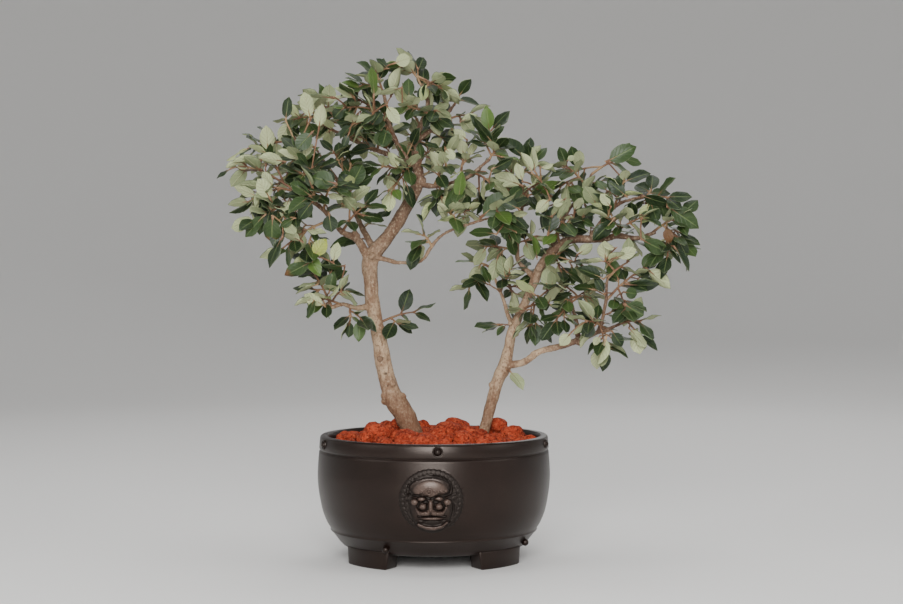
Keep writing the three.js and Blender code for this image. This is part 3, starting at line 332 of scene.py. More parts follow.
# The leaves that show most from the front, as the photograph has them in its pixels:
# (root x, root y, tip x, tip y, half width, kind)
SHOWN = [
    (311, 120, 304, 92, 7, "pale"), (319, 130, 322, 104, 6, "pale"), (335, 98, 299, 91, 1.5, "pale"),
    (286, 121, 288, 97, 5, "dark"), (374, 98, 375, 67, 5.3, "young"), (394, 64, 411, 58, 6.5, "pale"),
    (388, 69, 377, 58, 3.5, "dark"), (409, 99, 409, 78, 6, "green"), (381, 127, 385, 149, 9.5, "tipped"),
    (371, 127, 382, 111, 6, "dark"), (386, 105, 399, 124, 6, "pale"), (313, 132, 297, 149, 8, "green"),
    (344, 108, 333, 119, 6, "dark"), (402, 88, 378, 92, 3, "pale"), (349, 134, 343, 147, 4, "dark"),
    (286, 162, 259, 156, 6, "pale"), (262, 160, 233, 159, 4, "pale"), (240, 162, 226, 167, 3, "pale"),
    (231, 169, 216, 177, 2, "dark"), (262, 170, 235, 170, 1.6, "autumn"), (258, 197, 236, 185, 5.5, "pale"),
    (271, 200, 259, 179, 8, "pale"), (256, 198, 232, 216, 3, "dark"), (260, 201, 251, 213, 3, "pale"),
    (266, 214, 244, 235, 6, "green"), (273, 216, 271, 243, 9.5, "tipped"),
    (283, 236, 266, 266, 5.5, "dark"), (290, 198, 283, 218, 4.5, "pale"),
    (295, 218, 279, 227, 4, "green"), (303, 242, 281, 230, 5, "pale"),
    (314, 200, 298, 220, 7, "dark"), (329, 213, 331, 232, 8, "dark"), (304, 229, 326, 236, 3.5, "pale"),
    (313, 257, 326, 239, 7.5, "yellow"), (312, 261, 286, 277, 7, "tipped"),
    (333, 263, 338, 243, 5.5, "pale"),
    (345, 266, 321, 268, 3, "green"), (329, 293, 333, 272, 6, "green"), (328, 298, 342, 285, 2.5, "pale"),
    (318, 284, 295, 291, 2.5, "pale"), (325, 306, 305, 294, 5.5, "pale"), (337, 184, 312, 177, 9.5, "green"),
    (352, 190, 339, 174, 7, "dark"), (453, 125, 437, 112, 5.5, "pale"), (460, 122, 477, 114, 3.5, "pale"),
    (495, 145, 472, 121, 5, "dark"), (467, 140, 454, 130, 5, "pale"), (445, 148, 455, 160, 5, "pale"),
    (526, 160, 503, 135, 6, "dark"), (533, 170, 525, 143, 4, "dark"), (533, 174, 523, 152, 5, "pale"),
    (535, 172, 535, 148, 4, "pale"), (540, 168, 554, 165, 3, "pale"), (523, 186, 495, 174, 7, "pale"),
    (523, 182, 516, 164, 5, "pale"), (492, 169, 514, 160, 5, "dark"), (528, 196, 559, 184, 6, "young"),
    (459, 201, 460, 171, 6, "young"), (480, 218, 508, 194, 11, "green"), (519, 209, 500, 199, 6, "dark"),
    (516, 232, 490, 221, 7, "green"), (497, 234, 469, 230, 4.5, "green"), (548, 235, 553, 207, 9, "dark"),
    (550, 199, 536, 212, 6, "pale"), (565, 199, 553, 206, 4, "pale"), (611, 207, 600, 194, 5, "pale"),
    (606, 162, 636, 146, 9, "green"), (567, 161, 574, 156, 3, "pale"), (627, 197, 608, 180, 7, "dark"),
    (666, 197, 692, 195, 5, "dark"), (667, 206, 700, 227, 9, "green"), (641, 195, 668, 206, 5, "dark"),
    (615, 218, 595, 241, 6.5, "dark"), (665, 227, 671, 243, 5, "autumn"), (641, 239, 668, 254, 7, "green"),
    (677, 231, 699, 240, 3.5, "dark"), (674, 246, 692, 269, 3, "dark"), (577, 255, 593, 244, 5.5, "pale"),
    (616, 248, 602, 246, 3, "pale"), (616, 258, 636, 249, 6, "pale"), (537, 258, 535, 236, 4.5, "young"),
    (646, 268, 672, 287, 6.5, "pale"), (625, 284, 660, 288, 6, "dark"), (624, 292, 638, 294, 6, "green"),
    (624, 304, 644, 316, 10.5, "green"), (604, 279, 578, 266, 6, "dark"), (605, 294, 596, 277, 4.5, "dark"),
    (629, 328, 648, 345, 4.5, "pale"), (612, 331, 623, 347, 6, "dark"), (607, 336, 601, 366, 4, "pale"),
    (596, 325, 582, 336, 7, "dark"), (600, 336, 594, 345, 4, "pale"), (571, 333, 560, 345, 6, "pale"),
]
# How the shown leaves are grown: the front twigs come first, and a blade stands before its twig
SHOW = {
    "first": 2, "steps": 10, "front": 0.4, "before": 9, "slant": 0.25, "tilt": 0.2, "wide": 0.25, "near": 45,
    "node": 0.95, "seed": 5,
}
# The most tint of the other leaves, so that only a few are as fresh as young ones
RIPE = 0.95
# The dice of each spray's choice of blades and tints
LOOK_SEED = 91
# Each kind's tint, where its whole part says how far the blade has turned brown
KINDS = {
    "dark": 0.2, "green": 0.74, "young": 0.93, "yellow": 0.995, "tipped": 1.74, "autumn": 2.6, "pale": 0.6,
}
# By how many degrees an edge of each piece turns before it is shaded as sharp
SHARP = {"pot": 42, "soil": 60, "stones": 70, "bark": 70, "leaves": 80}
THIRD = 2 * math.pi / 3
GOLDEN_TURN = math.pi * (3 - math.sqrt(5))


def dice(*seeds):
    """A seeded dice: each call of what comes back gives the next number from 0 to 1."""
    modulus, factor, spread = 2147483647, 16807, 7919
    state = 1
    for seed in seeds:
        state = (state * spread + seed + 1) % modulus

    def roll():
        nonlocal state
        state = state * factor % modulus
        return state / modulus

    roll()
    roll()
    return roll


def between(roll, low, high):
    return low + (high - low) * roll()


def rough(spot, noises):
    """A sum of noises at a spot, each given as (how fine, how strong)."""
    return sum(strong * noise.noise(spot * fine) for fine, strong in noises)


# Shapes


def soften(bm, sharp):
    """Shades every face smooth, apart from the edges that turn by more than sharp degrees."""
    limit = math.radians(sharp)
    for face in bm.faces:
        face.smooth = True
    for edge in bm.edges:
        edge.smooth = len(edge.link_faces) != 2 or edge.calc_face_angle() < limit


def make_piece(bm, name, materials, nodes, sharp):
    """Turns a bmesh in millimetres into a finished piece that stands for the nodes."""
    bmesh.ops.transform(bm, matrix=TO_PLACE, verts=bm.verts)
    soften(bm, sharp)
    mesh = bpy.data.meshes.new(name)
    bm.to_mesh(mesh)
    bm.free()
    piece = bpy.data.objects.new(name, mesh)
    bpy.context.scene.collection.objects.link(piece)
    for material in materials:
        mesh.materials.append(material)
    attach(piece, "root")
    if nodes:
        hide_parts(*nodes)


def scratch_object(bm):
    """A bmesh as a loose object, for a modifier to work on."""
    mesh = bpy.data.meshes.new("scratch")
    bm.to_mesh(mesh)
    bm.free()
    made = bpy.data.objects.new("scratch", mesh)
    bpy.context.scene.collection.objects.link(made)
    return made


def throw_away(made):
    mesh = made.data
    bpy.data.objects.remove(made)
    bpy.data.meshes.remove(mesh)


def as_bmesh(made):
    """A loose object with its modifiers applied, as a bmesh; the object is removed."""
    bpy.context.view_layer.update()
    graph = bpy.context.evaluated_depsgraph_get()
    bm = bmesh.new()
    bm.from_object(made, graph)
    throw_away(made)
    return bm


def smooth_line(points, step):
    """A smooth line through the points, each a tuple of any length, at about the step."""
    points = np.array(points, float)
    padded = np.vstack([2 * points[0] - points[1], points, 2 * points[-1] - points[-2]])
    line = []
    for i in range(1, len(points)):
        before, start, end, after = padded[i - 1 : i + 3]
        cuts = max(1, round(float(np.linalg.norm((end - start)[:3])) / step))
        for t in np.arange(cuts) / cuts:
            bend = 2 * start + (end - before) * t + (2 * before - 5 * start + 4 * end - after) * t * t
            line.append((bend + (3 * start - before - 3 * end + after) * t**3) / 2)
    return [*line, points[-1]]


def spun(bm, line, turns, closed=True):
    """Spins a line of (radius, height) about Z into a skin with its faces outwards."""
    spots = [bm.verts.new((r, 0, z)) for r, z in line]
    edges = [bm.edges.new(pair) for pair in zip(spots, spots[1:])]
    if closed:
        edges.append(bm.edges.new((spots[-1], spots[0])))
    first = len(bm.verts) - len(spots)
    bmesh.ops.spin(
        bm, geom=spots + edges, axis=(0, 0, 1), cent=(0, 0, 0), angle=2 * math.pi, steps=turns,
        use_merge=True,
    )
    bm.verts.ensure_lookup_table()
    if not closed:
        bmesh.ops.remove_doubles(bm, verts=bm.verts[first:], dist=1e-4)
    bmesh.ops.recalc_face_normals(bm, faces=bm.faces)


def ring_places(route):
    """Where each ring of a tube along the route of (x, y, z, radius) lies: its own axes and size."""
    centres = [Vector(p[:3]) for p in route]
    across = Vector((0, 1, 0.01))
    places = []
    for i, centre in enumerate(centres):
        along = (centres[min(i + 1, len(route) - 1)] - centres[max(i - 1, 0)]).normalized()
        across = (across - along * across.dot(along)).normalized()
        axes = Matrix((across, along.cross(across), along)).transposed().to_4x4()
        places.append(Matrix.Translation(centre) @ axes @ Matrix.Scale(route[i][3], 4))
    return places


def tube(bm, route, sides):
    """A closed round tube along a route of (x, y, z, radius)."""
    places = ring_places(route)
    made = bmesh.ops.create_circle(bm, segments=sides, radius=1, cap_ends=True, matrix=places[0])["verts"]
    cap = made[0].link_faces[0]
    cap.normal_flip()
    ring = list(cap.edges)
    for before, after in zip(places, places[1:]):
        grown = bmesh.ops.extrude_edge_only(bm, edges=ring)["geom"]
        corners = {v for v in grown if isinstance(v, bmesh.types.BMVert)}
        ring = [e for e in grown if isinstance(e, bmesh.types.BMEdge) and set(e.verts) <= corners]
        bmesh.ops.transform(bm, matrix=after @ before.inverted(), verts=list(corners))
        made += list(corners)
    bmesh.ops.contextual_create(bm, geom=ring)
    faces = list({face for v in made for face in v.link_faces})
    bmesh.ops.recalc_face_normals(bm, faces=faces)
    return made


# Pot

ARC_POINTS = 12
OUTER_LINE = [*FLARE, *[tuple(p) for p in smooth_line(BELLY, POT["belly_step"])], *BAND]


def wall_radius(height):
    return np.interp(height, [z for r, z in OUTER_LINE], [r for r, z in OUTER_LINE])


def on_wall(azimuth, height, stand):
    """Axes at a spot on the wall: X along it, Y up and Z outwards."""
    turn = math.radians(azimuth)
    outward = Vector((math.sin(turn), -math.cos(turn), 0))
    aside = Vector((math.cos(turn), math.sin(turn), 0))
    axes = Matrix((aside, (0, 0, 1), outward)).transposed().to_4x4()
    return Matrix.Translation(outward * stand + Vector((0, 0, height))) @ axes


def swell(x, z, cx, cz, wide, tall, proud, bend):
    """A rounded swelling of the mask, or a hollow where proud is below 0."""
    inside = np.clip(1 - ((x - cx) / wide) ** 2 - ((z - cz) / tall) ** 2, 0, 1)
    return proud * inside**bend


def rope(x, z, path, wide, proud):
    """A rounded ridge along a path of (x, z)."""
    near = np.full(x.shape, np.inf)
    for (ax, az), (bx, bz) in zip(path, path[1:]):
        long = (bx - ax) ** 2 + (bz - az) ** 2
        share = np.clip(((x - ax) * (bx - ax) + (z - az) * (bz - az)) / long, 0, 1)
        near = np.minimum(near, (x - ax - share * (bx - ax)) ** 2 + (z - az - share * (bz - az)) ** 2)
    return proud * np.sqrt(np.clip(1 - near / wide**2, 0, 1))


def arc(cx, cz, radius, start, end):
    """The path of an arc, in degrees from straight up and clockwise."""
    turns = np.radians(np.linspace(start, end, ARC_POINTS))
    return [(cx + radius * math.sin(t), cz + radius * math.cos(t)) for t in turns]


# The lion mask's face as (x, z, half width, half height, proud, roundness) from the mask's
# middle, where a low roundness gives a flat top and what is proud by less than 0 is a hollow
MASK_SWELLS = [
    (-0.5, -4, 18.4, 22, 1.8, 0.5), (-1.2, 12.8, 16.8, 8.8, 2.6, 0.36), (-0.2, -4, 9.5, 6.5, 1, 0.8),
    (-7.4, 2.6, 4.8, 2.9, -1.5, 0.8), (6.4, 2.8, 4.8, 2.9, -1.5, 0.8),
    (-4.2, 0.2, 3, 1.8, -1.9, 0.6), (3.8, 0.2, 3, 1.8, -1.9, 0.6),
    (-7.6, 2.4, 3.6, 2.1, 3, 0.6), (6.3, 2.7, 3.7, 2.2, 3, 0.6),
    (-13.3, -0.3, 3.3, 2.9, 2.7, 0.6), (13, -0.2, 3.3, 2.9, 2.7, 0.6),
    (-19.6, 2.6, 2.2, 1.9, 0.9, 0.7), (18.8, 3.2, 2.2, 2, 0.8, 0.7),
    (-0.4, -3, 1.7, 5.8, 2.5, 0.6), (-0.4, -7.2, 3, 1.8, 1, 0.7),
    (-6.8, -3.9, 2.7, 2.4, 2, 0.6), (6.6, -3.9, 2.7, 2.4, 2, 0.6),
    (-6, -9.8, 5.2, 2.3, 2.3, 0.6), (5.4, -9.8, 5.4, 2.3, 2.3, 0.6),
    (0.8, -13.9, 10, 2, 1.5, 0.8), (1.2, -17.6, 10.4, 2.8, -1.9, 1), (0.8, -17.8, 6.4, 1.9, 0.9, 1),
    (1.2, -24.2, 8, 2, 0.6, 0.8), (-12.6, -13, 3.8, 7, 0.7, 0.8), (14, -12.4, 3.6, 7, 0.7, 0.8),
    (-7.6, 8.4, 1.1, 1, 1.1, 0.6), (-5, 8.6, 1, 1, 1.1, 0.6), (3.2, 8.7, 1.1, 1, 1.1, 0.6),
    (5.9, 8.6, 1.1, 1, 1.1, 0.6), (8.6, 8.6, 1.2, 1.1, 1.1, 0.6), (11.8, 9.2, 1.4, 1.3, 1.1, 0.6),
    (-1.6, 8.8, 1, 1, 1.1, 0.6),
]
# Its ridges, as (path, half width, proud): the ring on the forehead, the chin, the cheeks' curls
# and the whiskers
MASK_RIDGES = [
    (arc(-1.6, 8.8, 2.4, 0, 360), 0.8, 1.3),
    ([(-10.4, -19.6), (-4.4, -21.9), (2.7, -22.4), (8.6, -21.2), (13, -18)], 1.9, 2.4),
    ([(5, -9.4), (9.6, -8.2), (12, -4.8)], 1.5, 1.5),
    ([(-6.6, -9.2), (-10, -8.2), (-11.6, -5.6)], 1.3, 1.2),
    ([(-19.6, 5.4), (-15, 4), (-11.4, 3.6)], 1, 0.9),
    ([(12, 4), (16, 5.2), (19.4, 6.6)], 1, 0.9),
]
# Its grooves, in the same way: round the forehead, at the lips, beside the face and the nose, and
# round the nostrils
BROW = [
    (-19, 7.4), (-16.6, 4.6), (-11.6, 5.2), (-6.8, 6.4), (-2.9, 4.2), (-0.4, 2.2), (2.4, 4.2), (6.8, 6.6),
    (11.6, 5.2), (15.4, 6.8), (16.4, 11), (14.6, 15.8), (9.8, 19.2), (2.7, 20.8), (-6.3, 20.2),
    (-13.6, 17.6), (-18, 13), (-19, 7.4),
]
MASK_GROOVES = [
    (BROW, 1.2, -1.2),
    ([(-10.4, -12), (-3, -12), (3, -12), (11.6, -12)], 0.9, -1.2),
    ([(-9.4, -15), (-4, -15.6), (3, -15.6), (11, -15)], 1, -0.6),
    ([(-17.4, -2.4), (-17.8, -9), (-15, -16), (-10, -22.4)], 1.1, -0.7),
    ([(17.6, -2.2), (18.2, -8), (15.8, -15), (11, -22)], 1.1, -0.7),
    ([(-2.6, -0.4), (-2.7, -5.6)], 0.9, -1),
    ([(1.9, -0.4), (2, -5.6)], 0.9, -1),
    (arc(-6.8, -3.9, 3.9, 60, 330), 1, -1.2),
    (arc(6.6, -3.9, 3.9, -330, -60), 1, -1.2),
]
# The mane's curls lie in rings: each ring's distance from the middle and how many curls it has.
# They end at the face's oval and leave the chin free, each within a narrow fade
MANE = {
    "rings": [(20.6, 33), (24.6, 39)], "curl": 2.35, "proud": 0.8, "dimple": 0.4, "dimple_size": 4,
    "face": (19, 22.5), "face_drop": 1, "face_start": 0.95, "face_fade": 8, "chin": 148, "chin_fade": 6,
    "edge": 26.8,
}


def mane_relief(x, z):
    """The rings of snail-shell curls about the face, which leave the chin free."""
    out, turn = np.hypot(x, z), np.arctan2(x, z)
    height = np.zeros(x.shape)
    for ring, (middle, count) in enumerate(MANE["rings"]):
        step = 2 * math.pi / count
        nearest = np.round(turn / step - ring / 2) * step + ring / 2 * step
        away = np.hypot(out - middle, (turn - nearest) * middle) / MANE["curl"]
        dimple = MANE["dimple"] * np.exp(-((away * MANE["dimple_size"]) ** 2))
        curl = np.sqrt(np.clip(1 - away**2, 0, 1)) - dimple
        height = np.maximum(height, MANE["proud"] * curl)
    wide, tall = MANE["face"]
    face = (x / wide) ** 2 + ((z + MANE["face_drop"]) / tall) ** 2
    chin = np.clip((math.radians(MANE["chin"]) - np.abs(turn)) * MANE["chin_fade"], 0, 1)
    return height * np.clip((face - MANE["face_start"]) * MANE["face_fade"], 0, 1) * chin


def mask_relief(x, z):
    """How far the lion mask stands out of the wall at (x, z) from its middle."""
    out = np.hypot(x, z) / MANE["edge"]
    height = MASK["plate"] * np.clip(1 - out ** MASK["plate_bend"], 0, 1) + mane_relief(x, z) * (out < 1)
    for feature in MASK_SWELLS:
        height += swell(x, z, *feature)
    for groove in MASK_GROOVES:
        height += rope(x, z, *groove)
    return height + np.max([rope(x, z, *ridge) for ridge in MASK_RIDGES], axis=0)


def lion_mask(azimuth):
    radius, rings = MASK["radius"], MASK["rings"]
    bm = bmesh.new()
    front = [(radius * i / rings, 0) for i in range(rings + 1)]
    spun(bm, [*front, (radius, -MASK["sunk"]), (0, -MASK["root"])], MASK["spokes"], closed=False)
    x, z, depth = np.array([v.co for v in bm.verts]).T
    proud = np.where(depth > -1e-6, mask_relief(x, z), depth)
    stand = wall_radius(MASK["height"] + z) + proud
    turn = x / wall_radius(MASK["height"]) + math.radians(azimuth)
    for v, r, a, up in zip(bm.verts, stand, turn, z):
        v.co = (r * math.sin(a), -r * math.cos(a), MASK["height"] + up)
    return scratch_object(bm)


def mark_relief(bm):
    """Notes how far each corner of the two masks stands out of the wall, which sets the clay's painted shade
    and highlight.
    """
    layer = bm.verts.layers.float.new("relief")
    for v in bm.verts:
        around = math.degrees(math.atan2(v.co.x, -v.co.y)) - MASK["azimuth"]
        aside = math.radians((around + 90) % 180 - 90) * wall_radius(MASK["height"])
        if math.hypot(aside, v.co.z - MASK["height"]) < MASK["radius"]:
            v[layer] = max(math.hypot(v.co.x, v.co.y) - wall_radius(v.co.z), 0)


def stud(azimuth):
    bm = bmesh.new()
    spun(bm, [*STUD_LINE, (0, STUDS["root"])], STUDS["turns"], closed=False)
    bmesh.ops.transform(bm, matrix=on_wall(azimuth, STUDS["height"], STUDS["stand"]), verts=bm.verts)
    return scratch_object(bm)


def foot_bead(azimuth):
    bm = bmesh.new()
    place = on_wall(azimuth, BEADS["height"], BEADS["stand"])
    bmesh.ops.create_uvsphere(
        bm, u_segments=BEADS["turns"], v_segments=BEADS["rings"], radius=BEADS["radius"], matrix=place
    )
    return scratch_object(bm)


def foot(centre):
    """A foot: a rounded block bent about the pot's axis, a little narrower at the ground."""
    middle = (FOOT["outer"] + FOOT["inner"]) / 2
    half = math.radians(FOOT["half"]) * middle
    size = (2 * half, FOOT["outer"] - FOOT["inner"], FOOT["top"])
    bm = bmesh.new()
    bmesh.ops.create_cube(bm, size=1, matrix=Matrix.Diagonal((*size, 1)))
    bmesh.ops.bevel(
        bm, geom=bm.edges[:], offset=FOOT["round"], segments=FOOT["round_steps"], affect="EDGES",
        profile=0.5, material=-1,
    )
    long = [e for e in bm.edges if abs(e.verts[0].co.x - e.verts[1].co.x) > half]
    bmesh.ops.subdivide_edges(bm, edges=long, cuts=FOOT["cuts"], use_grid_fill=True)
    for v in bm.verts:
        up = v.co.z + FOOT["top"] / 2
        slim = 1 - FOOT["taper"] * (1 - min(up / FOOT_HEIGHT, 1))
        turn = v.co.x / middle * slim + math.radians(centre)
        out = middle + v.co.y
        v.co = (out * math.sin(turn), -out * math.cos(turn), up)
    bmesh.ops.recalc_face_normals(bm, faces=bm.faces)
    return scratch_object(bm)


def thrown_wall():
    """The pot's wall and floor, as thrown: nearly round, but not quite."""
    bm = bmesh.new()
    inside = [INSIDE[0], *[tuple(p) for p in smooth_line(INSIDE[2:], POT["inside_step"])]]
    spun(bm, [*DRAIN[::-1], *OUTER_LINE, *inside], POT["turns"])
    for v in bm.verts:
        spot = Vector((v.co.x, v.co.y, v.co.z * POT["wander_flat"])) * POT["wander_fine"]
        wander = noise.noise(spot) * POT["wander"]
        out = Vector((v.co.x, v.co.y, 0)).normalized()
        v.co += out * wander * (v.co.z > FOOT_HEIGHT + 1)
    return scratch_object(bm)


def make_pot(clay):
    """The pot with its feet, beads, studs and masks joined to the wall in one body."""
    pot = thrown_wall()
    feet = [-FOOT["centre"], FOOT["centre"], 180 - FOOT["centre"], 180 + FOOT["centre"]]
    parts = [foot(centre) for centre in feet]
    parts += [foot_bead(centre + FOOT["half"]) for centre in feet]
    parts += [stud(STUDS["first"] + i * 360 / STUDS["count"]) for i in range(STUDS["count"])]
    parts += [lion_mask(MASK["azimuth"]), lion_mask(MASK["azimuth"] + 180)]
    added = bpy.data.collections.new("added")
    for part in parts:
        added.objects.link(part)
    union = pot.modifiers.new("union", "BOOLEAN")
    union.operation, union.solver = "UNION", "MANIFOLD"
    union.operand_type, union.collection = "COLLECTION", added
    bm = as_bmesh(pot)
    mark_relief(bm)
    for part in parts:
        throw_away(part)
    bpy.data.collections.remove(added)
    make_piece(bm, "pot_body", [clay], ["pot"], SHARP["pot"])


# Soil and stones


def bed_height(share):
    return BED["edge"] + (BED["crown"] - BED["edge"]) * (1 - share**2)


def make_soil(earth):
    """The soil that fills the pot, with a crumbly top."""
    bm = bmesh.new()
    radius, rings, bottom = SOIL["radius"], SOIL["rings"], FLOOR_TOP + SOIL["clear"]
    wall = [(r - SOIL["slack"], z + SOIL["clear"]) for r, z in INSIDE[:2:-1]]
    top = [(radius - radius * i / rings, SOIL["top"]) for i in range(rings + 1)]
    spun(bm, [(0, bottom), (SOIL["floor"], bottom), *wall, *top], SOIL["turns"], closed=False)
    for v in bm.verts:
        if v.co.z > SOIL["top"] - 0.1:
            v.co.z += rough(v.co, SOIL_CRUMBS)
    make_piece(bm, "soil_fill", [earth], ["soil"], SHARP["soil"])


def rough_stone(bm, matrix, detail, seed):
    """A pitted, craggy stone: a ball roughened by its own stretch of noise, then set in place."""
    made = bmesh.ops.create_icosphere(bm, subdivisions=detail, radius=1)["verts"]
    shift = Vector((seed * 3.7 % 51, seed * 7.3 % 47, seed * 1.9 % 43))
    for v in made:
        crag = sum(strong * noise.noise(v.co * fine + shift) for fine, strong in CRAGS["rough"])
        pit = max(0, noise.noise(v.co * CRAGS["pit_fine"] + shift) - CRAGS["pit_edge"]) * CRAGS["pit_deep"]
        v.co = v.co * (1 + crag - pit)
    bmesh.ops.transform(bm, matrix=matrix, verts=made)


def stone_matrix(centre, radius, roll):
    """A stone's squash and turn, drawn in the same order as the bed's own solids."""
    size = [between(roll, *span) for span in STONE_FORM["size"]]
    turns = [between(roll, -STONE_FORM["turn"], STONE_FORM["turn"]) for _ in range(3)]
    matrix = Matrix.Translation(centre)
    for turn, axis in zip(turns, "XYZ"):
        matrix = matrix @ Matrix.Rotation(turn, 4, axis)
    return matrix @ Matrix.Diagonal((*[radius * s for s in size], 1))


def stems_at(height):
    """Where the two trunks cross a height, as (x, y, radius)."""
    found = []
    for name in ("left_trunk", "right_trunk"):
        points = np.array(ROUTES[name])
        found.append([np.interp(height, points[:, 2], points[:, i]) for i in (0, 1, 3)])
    return found


def polar(out, turn, height):
    return Vector((out * math.cos(turn), out * math.sin(turn), height))


def bed_stones():
    """The stones of the bed's own solid, each as (middle, radius, detail, place)."""
    roll = dice(STONES["seed"])
    # The solid's own crumbly top takes these draws first
    for _ in range((BED["rings"] + 1) * BED["spokes"]):
        roll()
    detail = STONES["detail"]
    stones = []
    for *spot, radius in BIG_STONES:
        centre = Vector(spot)
        stones.append((centre, radius, detail, stone_matrix(centre, radius * STONES["slim"], roll)))
    for i in range(STONES["count"]):
        share = STONES["reach"] * math.sqrt((i + STONES["start"]) / STONES["count"])
        centre = polar(share * BED["radius"], i * GOLDEN_TURN, bed_height(share) + STONES["lift"])
        radius = between(roll, *STONES["radius"])
        stones.append((centre, radius, detail, stone_matrix(centre, radius, roll)))
    return stones


def fill_stones(stones):
    """Adds the small stones that lie clear of the trunks and of the stones before them."""
    fill = FILL_STONES
    roll = dice(fill["seed"])
    for i in range(fill["count"]):
        radius = between(roll, *fill["radius"])
        share = math.sqrt((i + fill["start"]) / fill["count"])
        height = bed_height(share) - radius * fill["sink"] + between(roll, -fill["stray"], fill["stray"])
        out = share * (BED["radius"] - radius - fill["edge"])
        centre = polar(out, i * GOLDEN_TURN + fill["turn"], height)
        matrix = stone_matrix(centre, radius, roll)
        crowded = any((centre - s[0]).length < (radius + s[1]) * fill["crowd"] for s in stones)
        for x, y, r in stems_at(height):
            crowded = crowded or math.hypot(centre.x - x, centre.y - y) < r + radius * fill["trunk"]
        if not crowded:
            stones.append((centre, radius, fill["detail"], matrix))


def make_stones(lava):
    stones = bed_stones()
    fill_stones(stones)
    bm = bmesh.new()
    for seed, (_, _, detail, matrix) in enumerate(stones):
        rough_stone(bm, matrix, detail, seed)
    make_piece(bm, "lava_stones", [lava], ["lava_bed"], SHARP["stones"])


def make_grit(dust):
    """The broken small stuff between the stones."""
    bm = bmesh.new()
    steps, bottom = GRIT["rings"], SOIL["top"] + GRIT["bottom"]
    line = [(0, bottom), (GRIT["radius"], bottom)]
    for i in range(steps + 1):
        share = 1 - i / steps
        line.append((GRIT["radius"] * share, bed_height(share) - GRIT["drop"]))
    spun(bm, line, GRIT["spokes"], closed=False)
    for v in bm.verts:
        if v.co.z > SOIL["top"] + 1:
            v.co.z += GRIT["rough"] * rough(v.co, GRIT_CRUMBS)
    make_piece(bm, "lava_grit", [dust], (), SHARP["soil"])


# Wood

BARK = {
    "voxel": 0.8, "step": 3.5, "trunk_sides": 20, "bough_sides": 12, "knob_detail": 3, "grow": -0.15,
    "smooth": 2,
}
# How far trunks, boughs and roots wander from their routes, how fine that is, how thick they swell,
# and how far apart in the noise the routes and the directions are read
WANDER = {
    "trunk": 0.8, "bough": 1.6, "root": 1, "fine": 0.045, "ends": 3, "swell": 0.1, "swell_fine": 3.1,
    "apart": 9.1, "aside": 31,
}
# The bark's ridges, cracks and flakes, as (how fine, how strong); it is smoother low on the trunk
RIDGES = {
    "ridge": (0.3, 0.42), "crack": (0.75, 0.24), "flake": (1.3, 0.24), "stretch": 0.4, "rough": (0.35, 0.65),
    "rough_from": 180, "rough_over": 120,
}
# Knobs and old stubs on the wood, as (x, y, z, radius)
KNOBS = {
    "left_wood": [
        (-27.2, -1, 141.5, 2.6), (-25.4, -1, 140.4, 1.6), (-42, -1, 141, 4.6), (-43, 1, 136, 3.4),
        (-36, -7, 152, 3), (-9.8, 2, 328.4, 3.4), (-17.5, -3, 330, 3), (-66, -15, 279.5, 2.9),
        (-68, -15.5, 282.6, 2.6), (-53.5, -10, 262, 3.6), (-60, -4, 248, 2.4), (-15.5, 0, 352, 2.6),
        (-52, -8.6, 218, 2.6), (-40.5, -6, 280.4, 2.6), (-22.5, 2, 300.5, 2.2), (-16.2, 3, 341, 3.2),
    ],
    "right_wood": [
        (50.2, -1.6, 150.4, 2.7), (59.4, -4.4, 166.4, 3.4), (72, -1.6, 200.2, 2.6), (71.6, -2, 194.6, 2.4),
        (66.4, -2.6, 204, 2.1), (125, -23.4, 188.8, 3.7), (127.4, -24, 190.6, 2.6), (91.4, -1, 251.6, 3.2),
        (101, -6, 262.4, 3.2), (112, -9, 275, 3), (94, -13, 181.8, 1.9), (46, -3, 117, 2.6),
        (137, -18, 279.4, 2.4),
    ],
}


def root_route(start, degrees):
    turn = math.radians(degrees)
    x, y = start[:2]
    return [(x + out * math.cos(turn), y + out * math.sin(turn), z, r) for out, z, r in ROOT_STEPS]


def gnarled(line, wander, seed):
    """The line with a little wander, and a radius that swells and narrows along it."""
    bent = []
    for i, (x, y, z, r) in enumerate(line):
        spot = Vector((x, y, z)) * WANDER["fine"] + Vector((seed * WANDER["apart"], 0, 0))
        free = min(i, len(line) - 1 - i, WANDER["ends"]) / WANDER["ends"] * wander
        aside = spot + Vector((0, WANDER["aside"], 0))
        shift = Vector((noise.noise(spot), noise.noise(aside), noise.noise(spot.zxy)))
        thick = 1 + WANDER["swell"] * noise.noise(spot * WANDER["swell_fine"])
        bent.append((x + shift.x * free, y + shift.y * free, z + shift.z * free, r * thick))
    return bent


def wrinkle(v):
    """How far the bark stands out at a corner."""
    up = min(max((v.co.z - RIDGES["rough_from"]) / RIDGES["rough_over"], 0), 1)
    smooth, more = RIDGES["rough"]
    craggy = smooth + more * up
    long = Vector((v.co.x, v.co.y, v.co.z * RIDGES["stretch"]))
    ridge, crack = rough(long, [RIDGES["ridge"]]), rough(long, [RIDGES["crack"]])
    return ridge + crack * craggy + rough(v.co, [RIDGES["flake"]]) * craggy


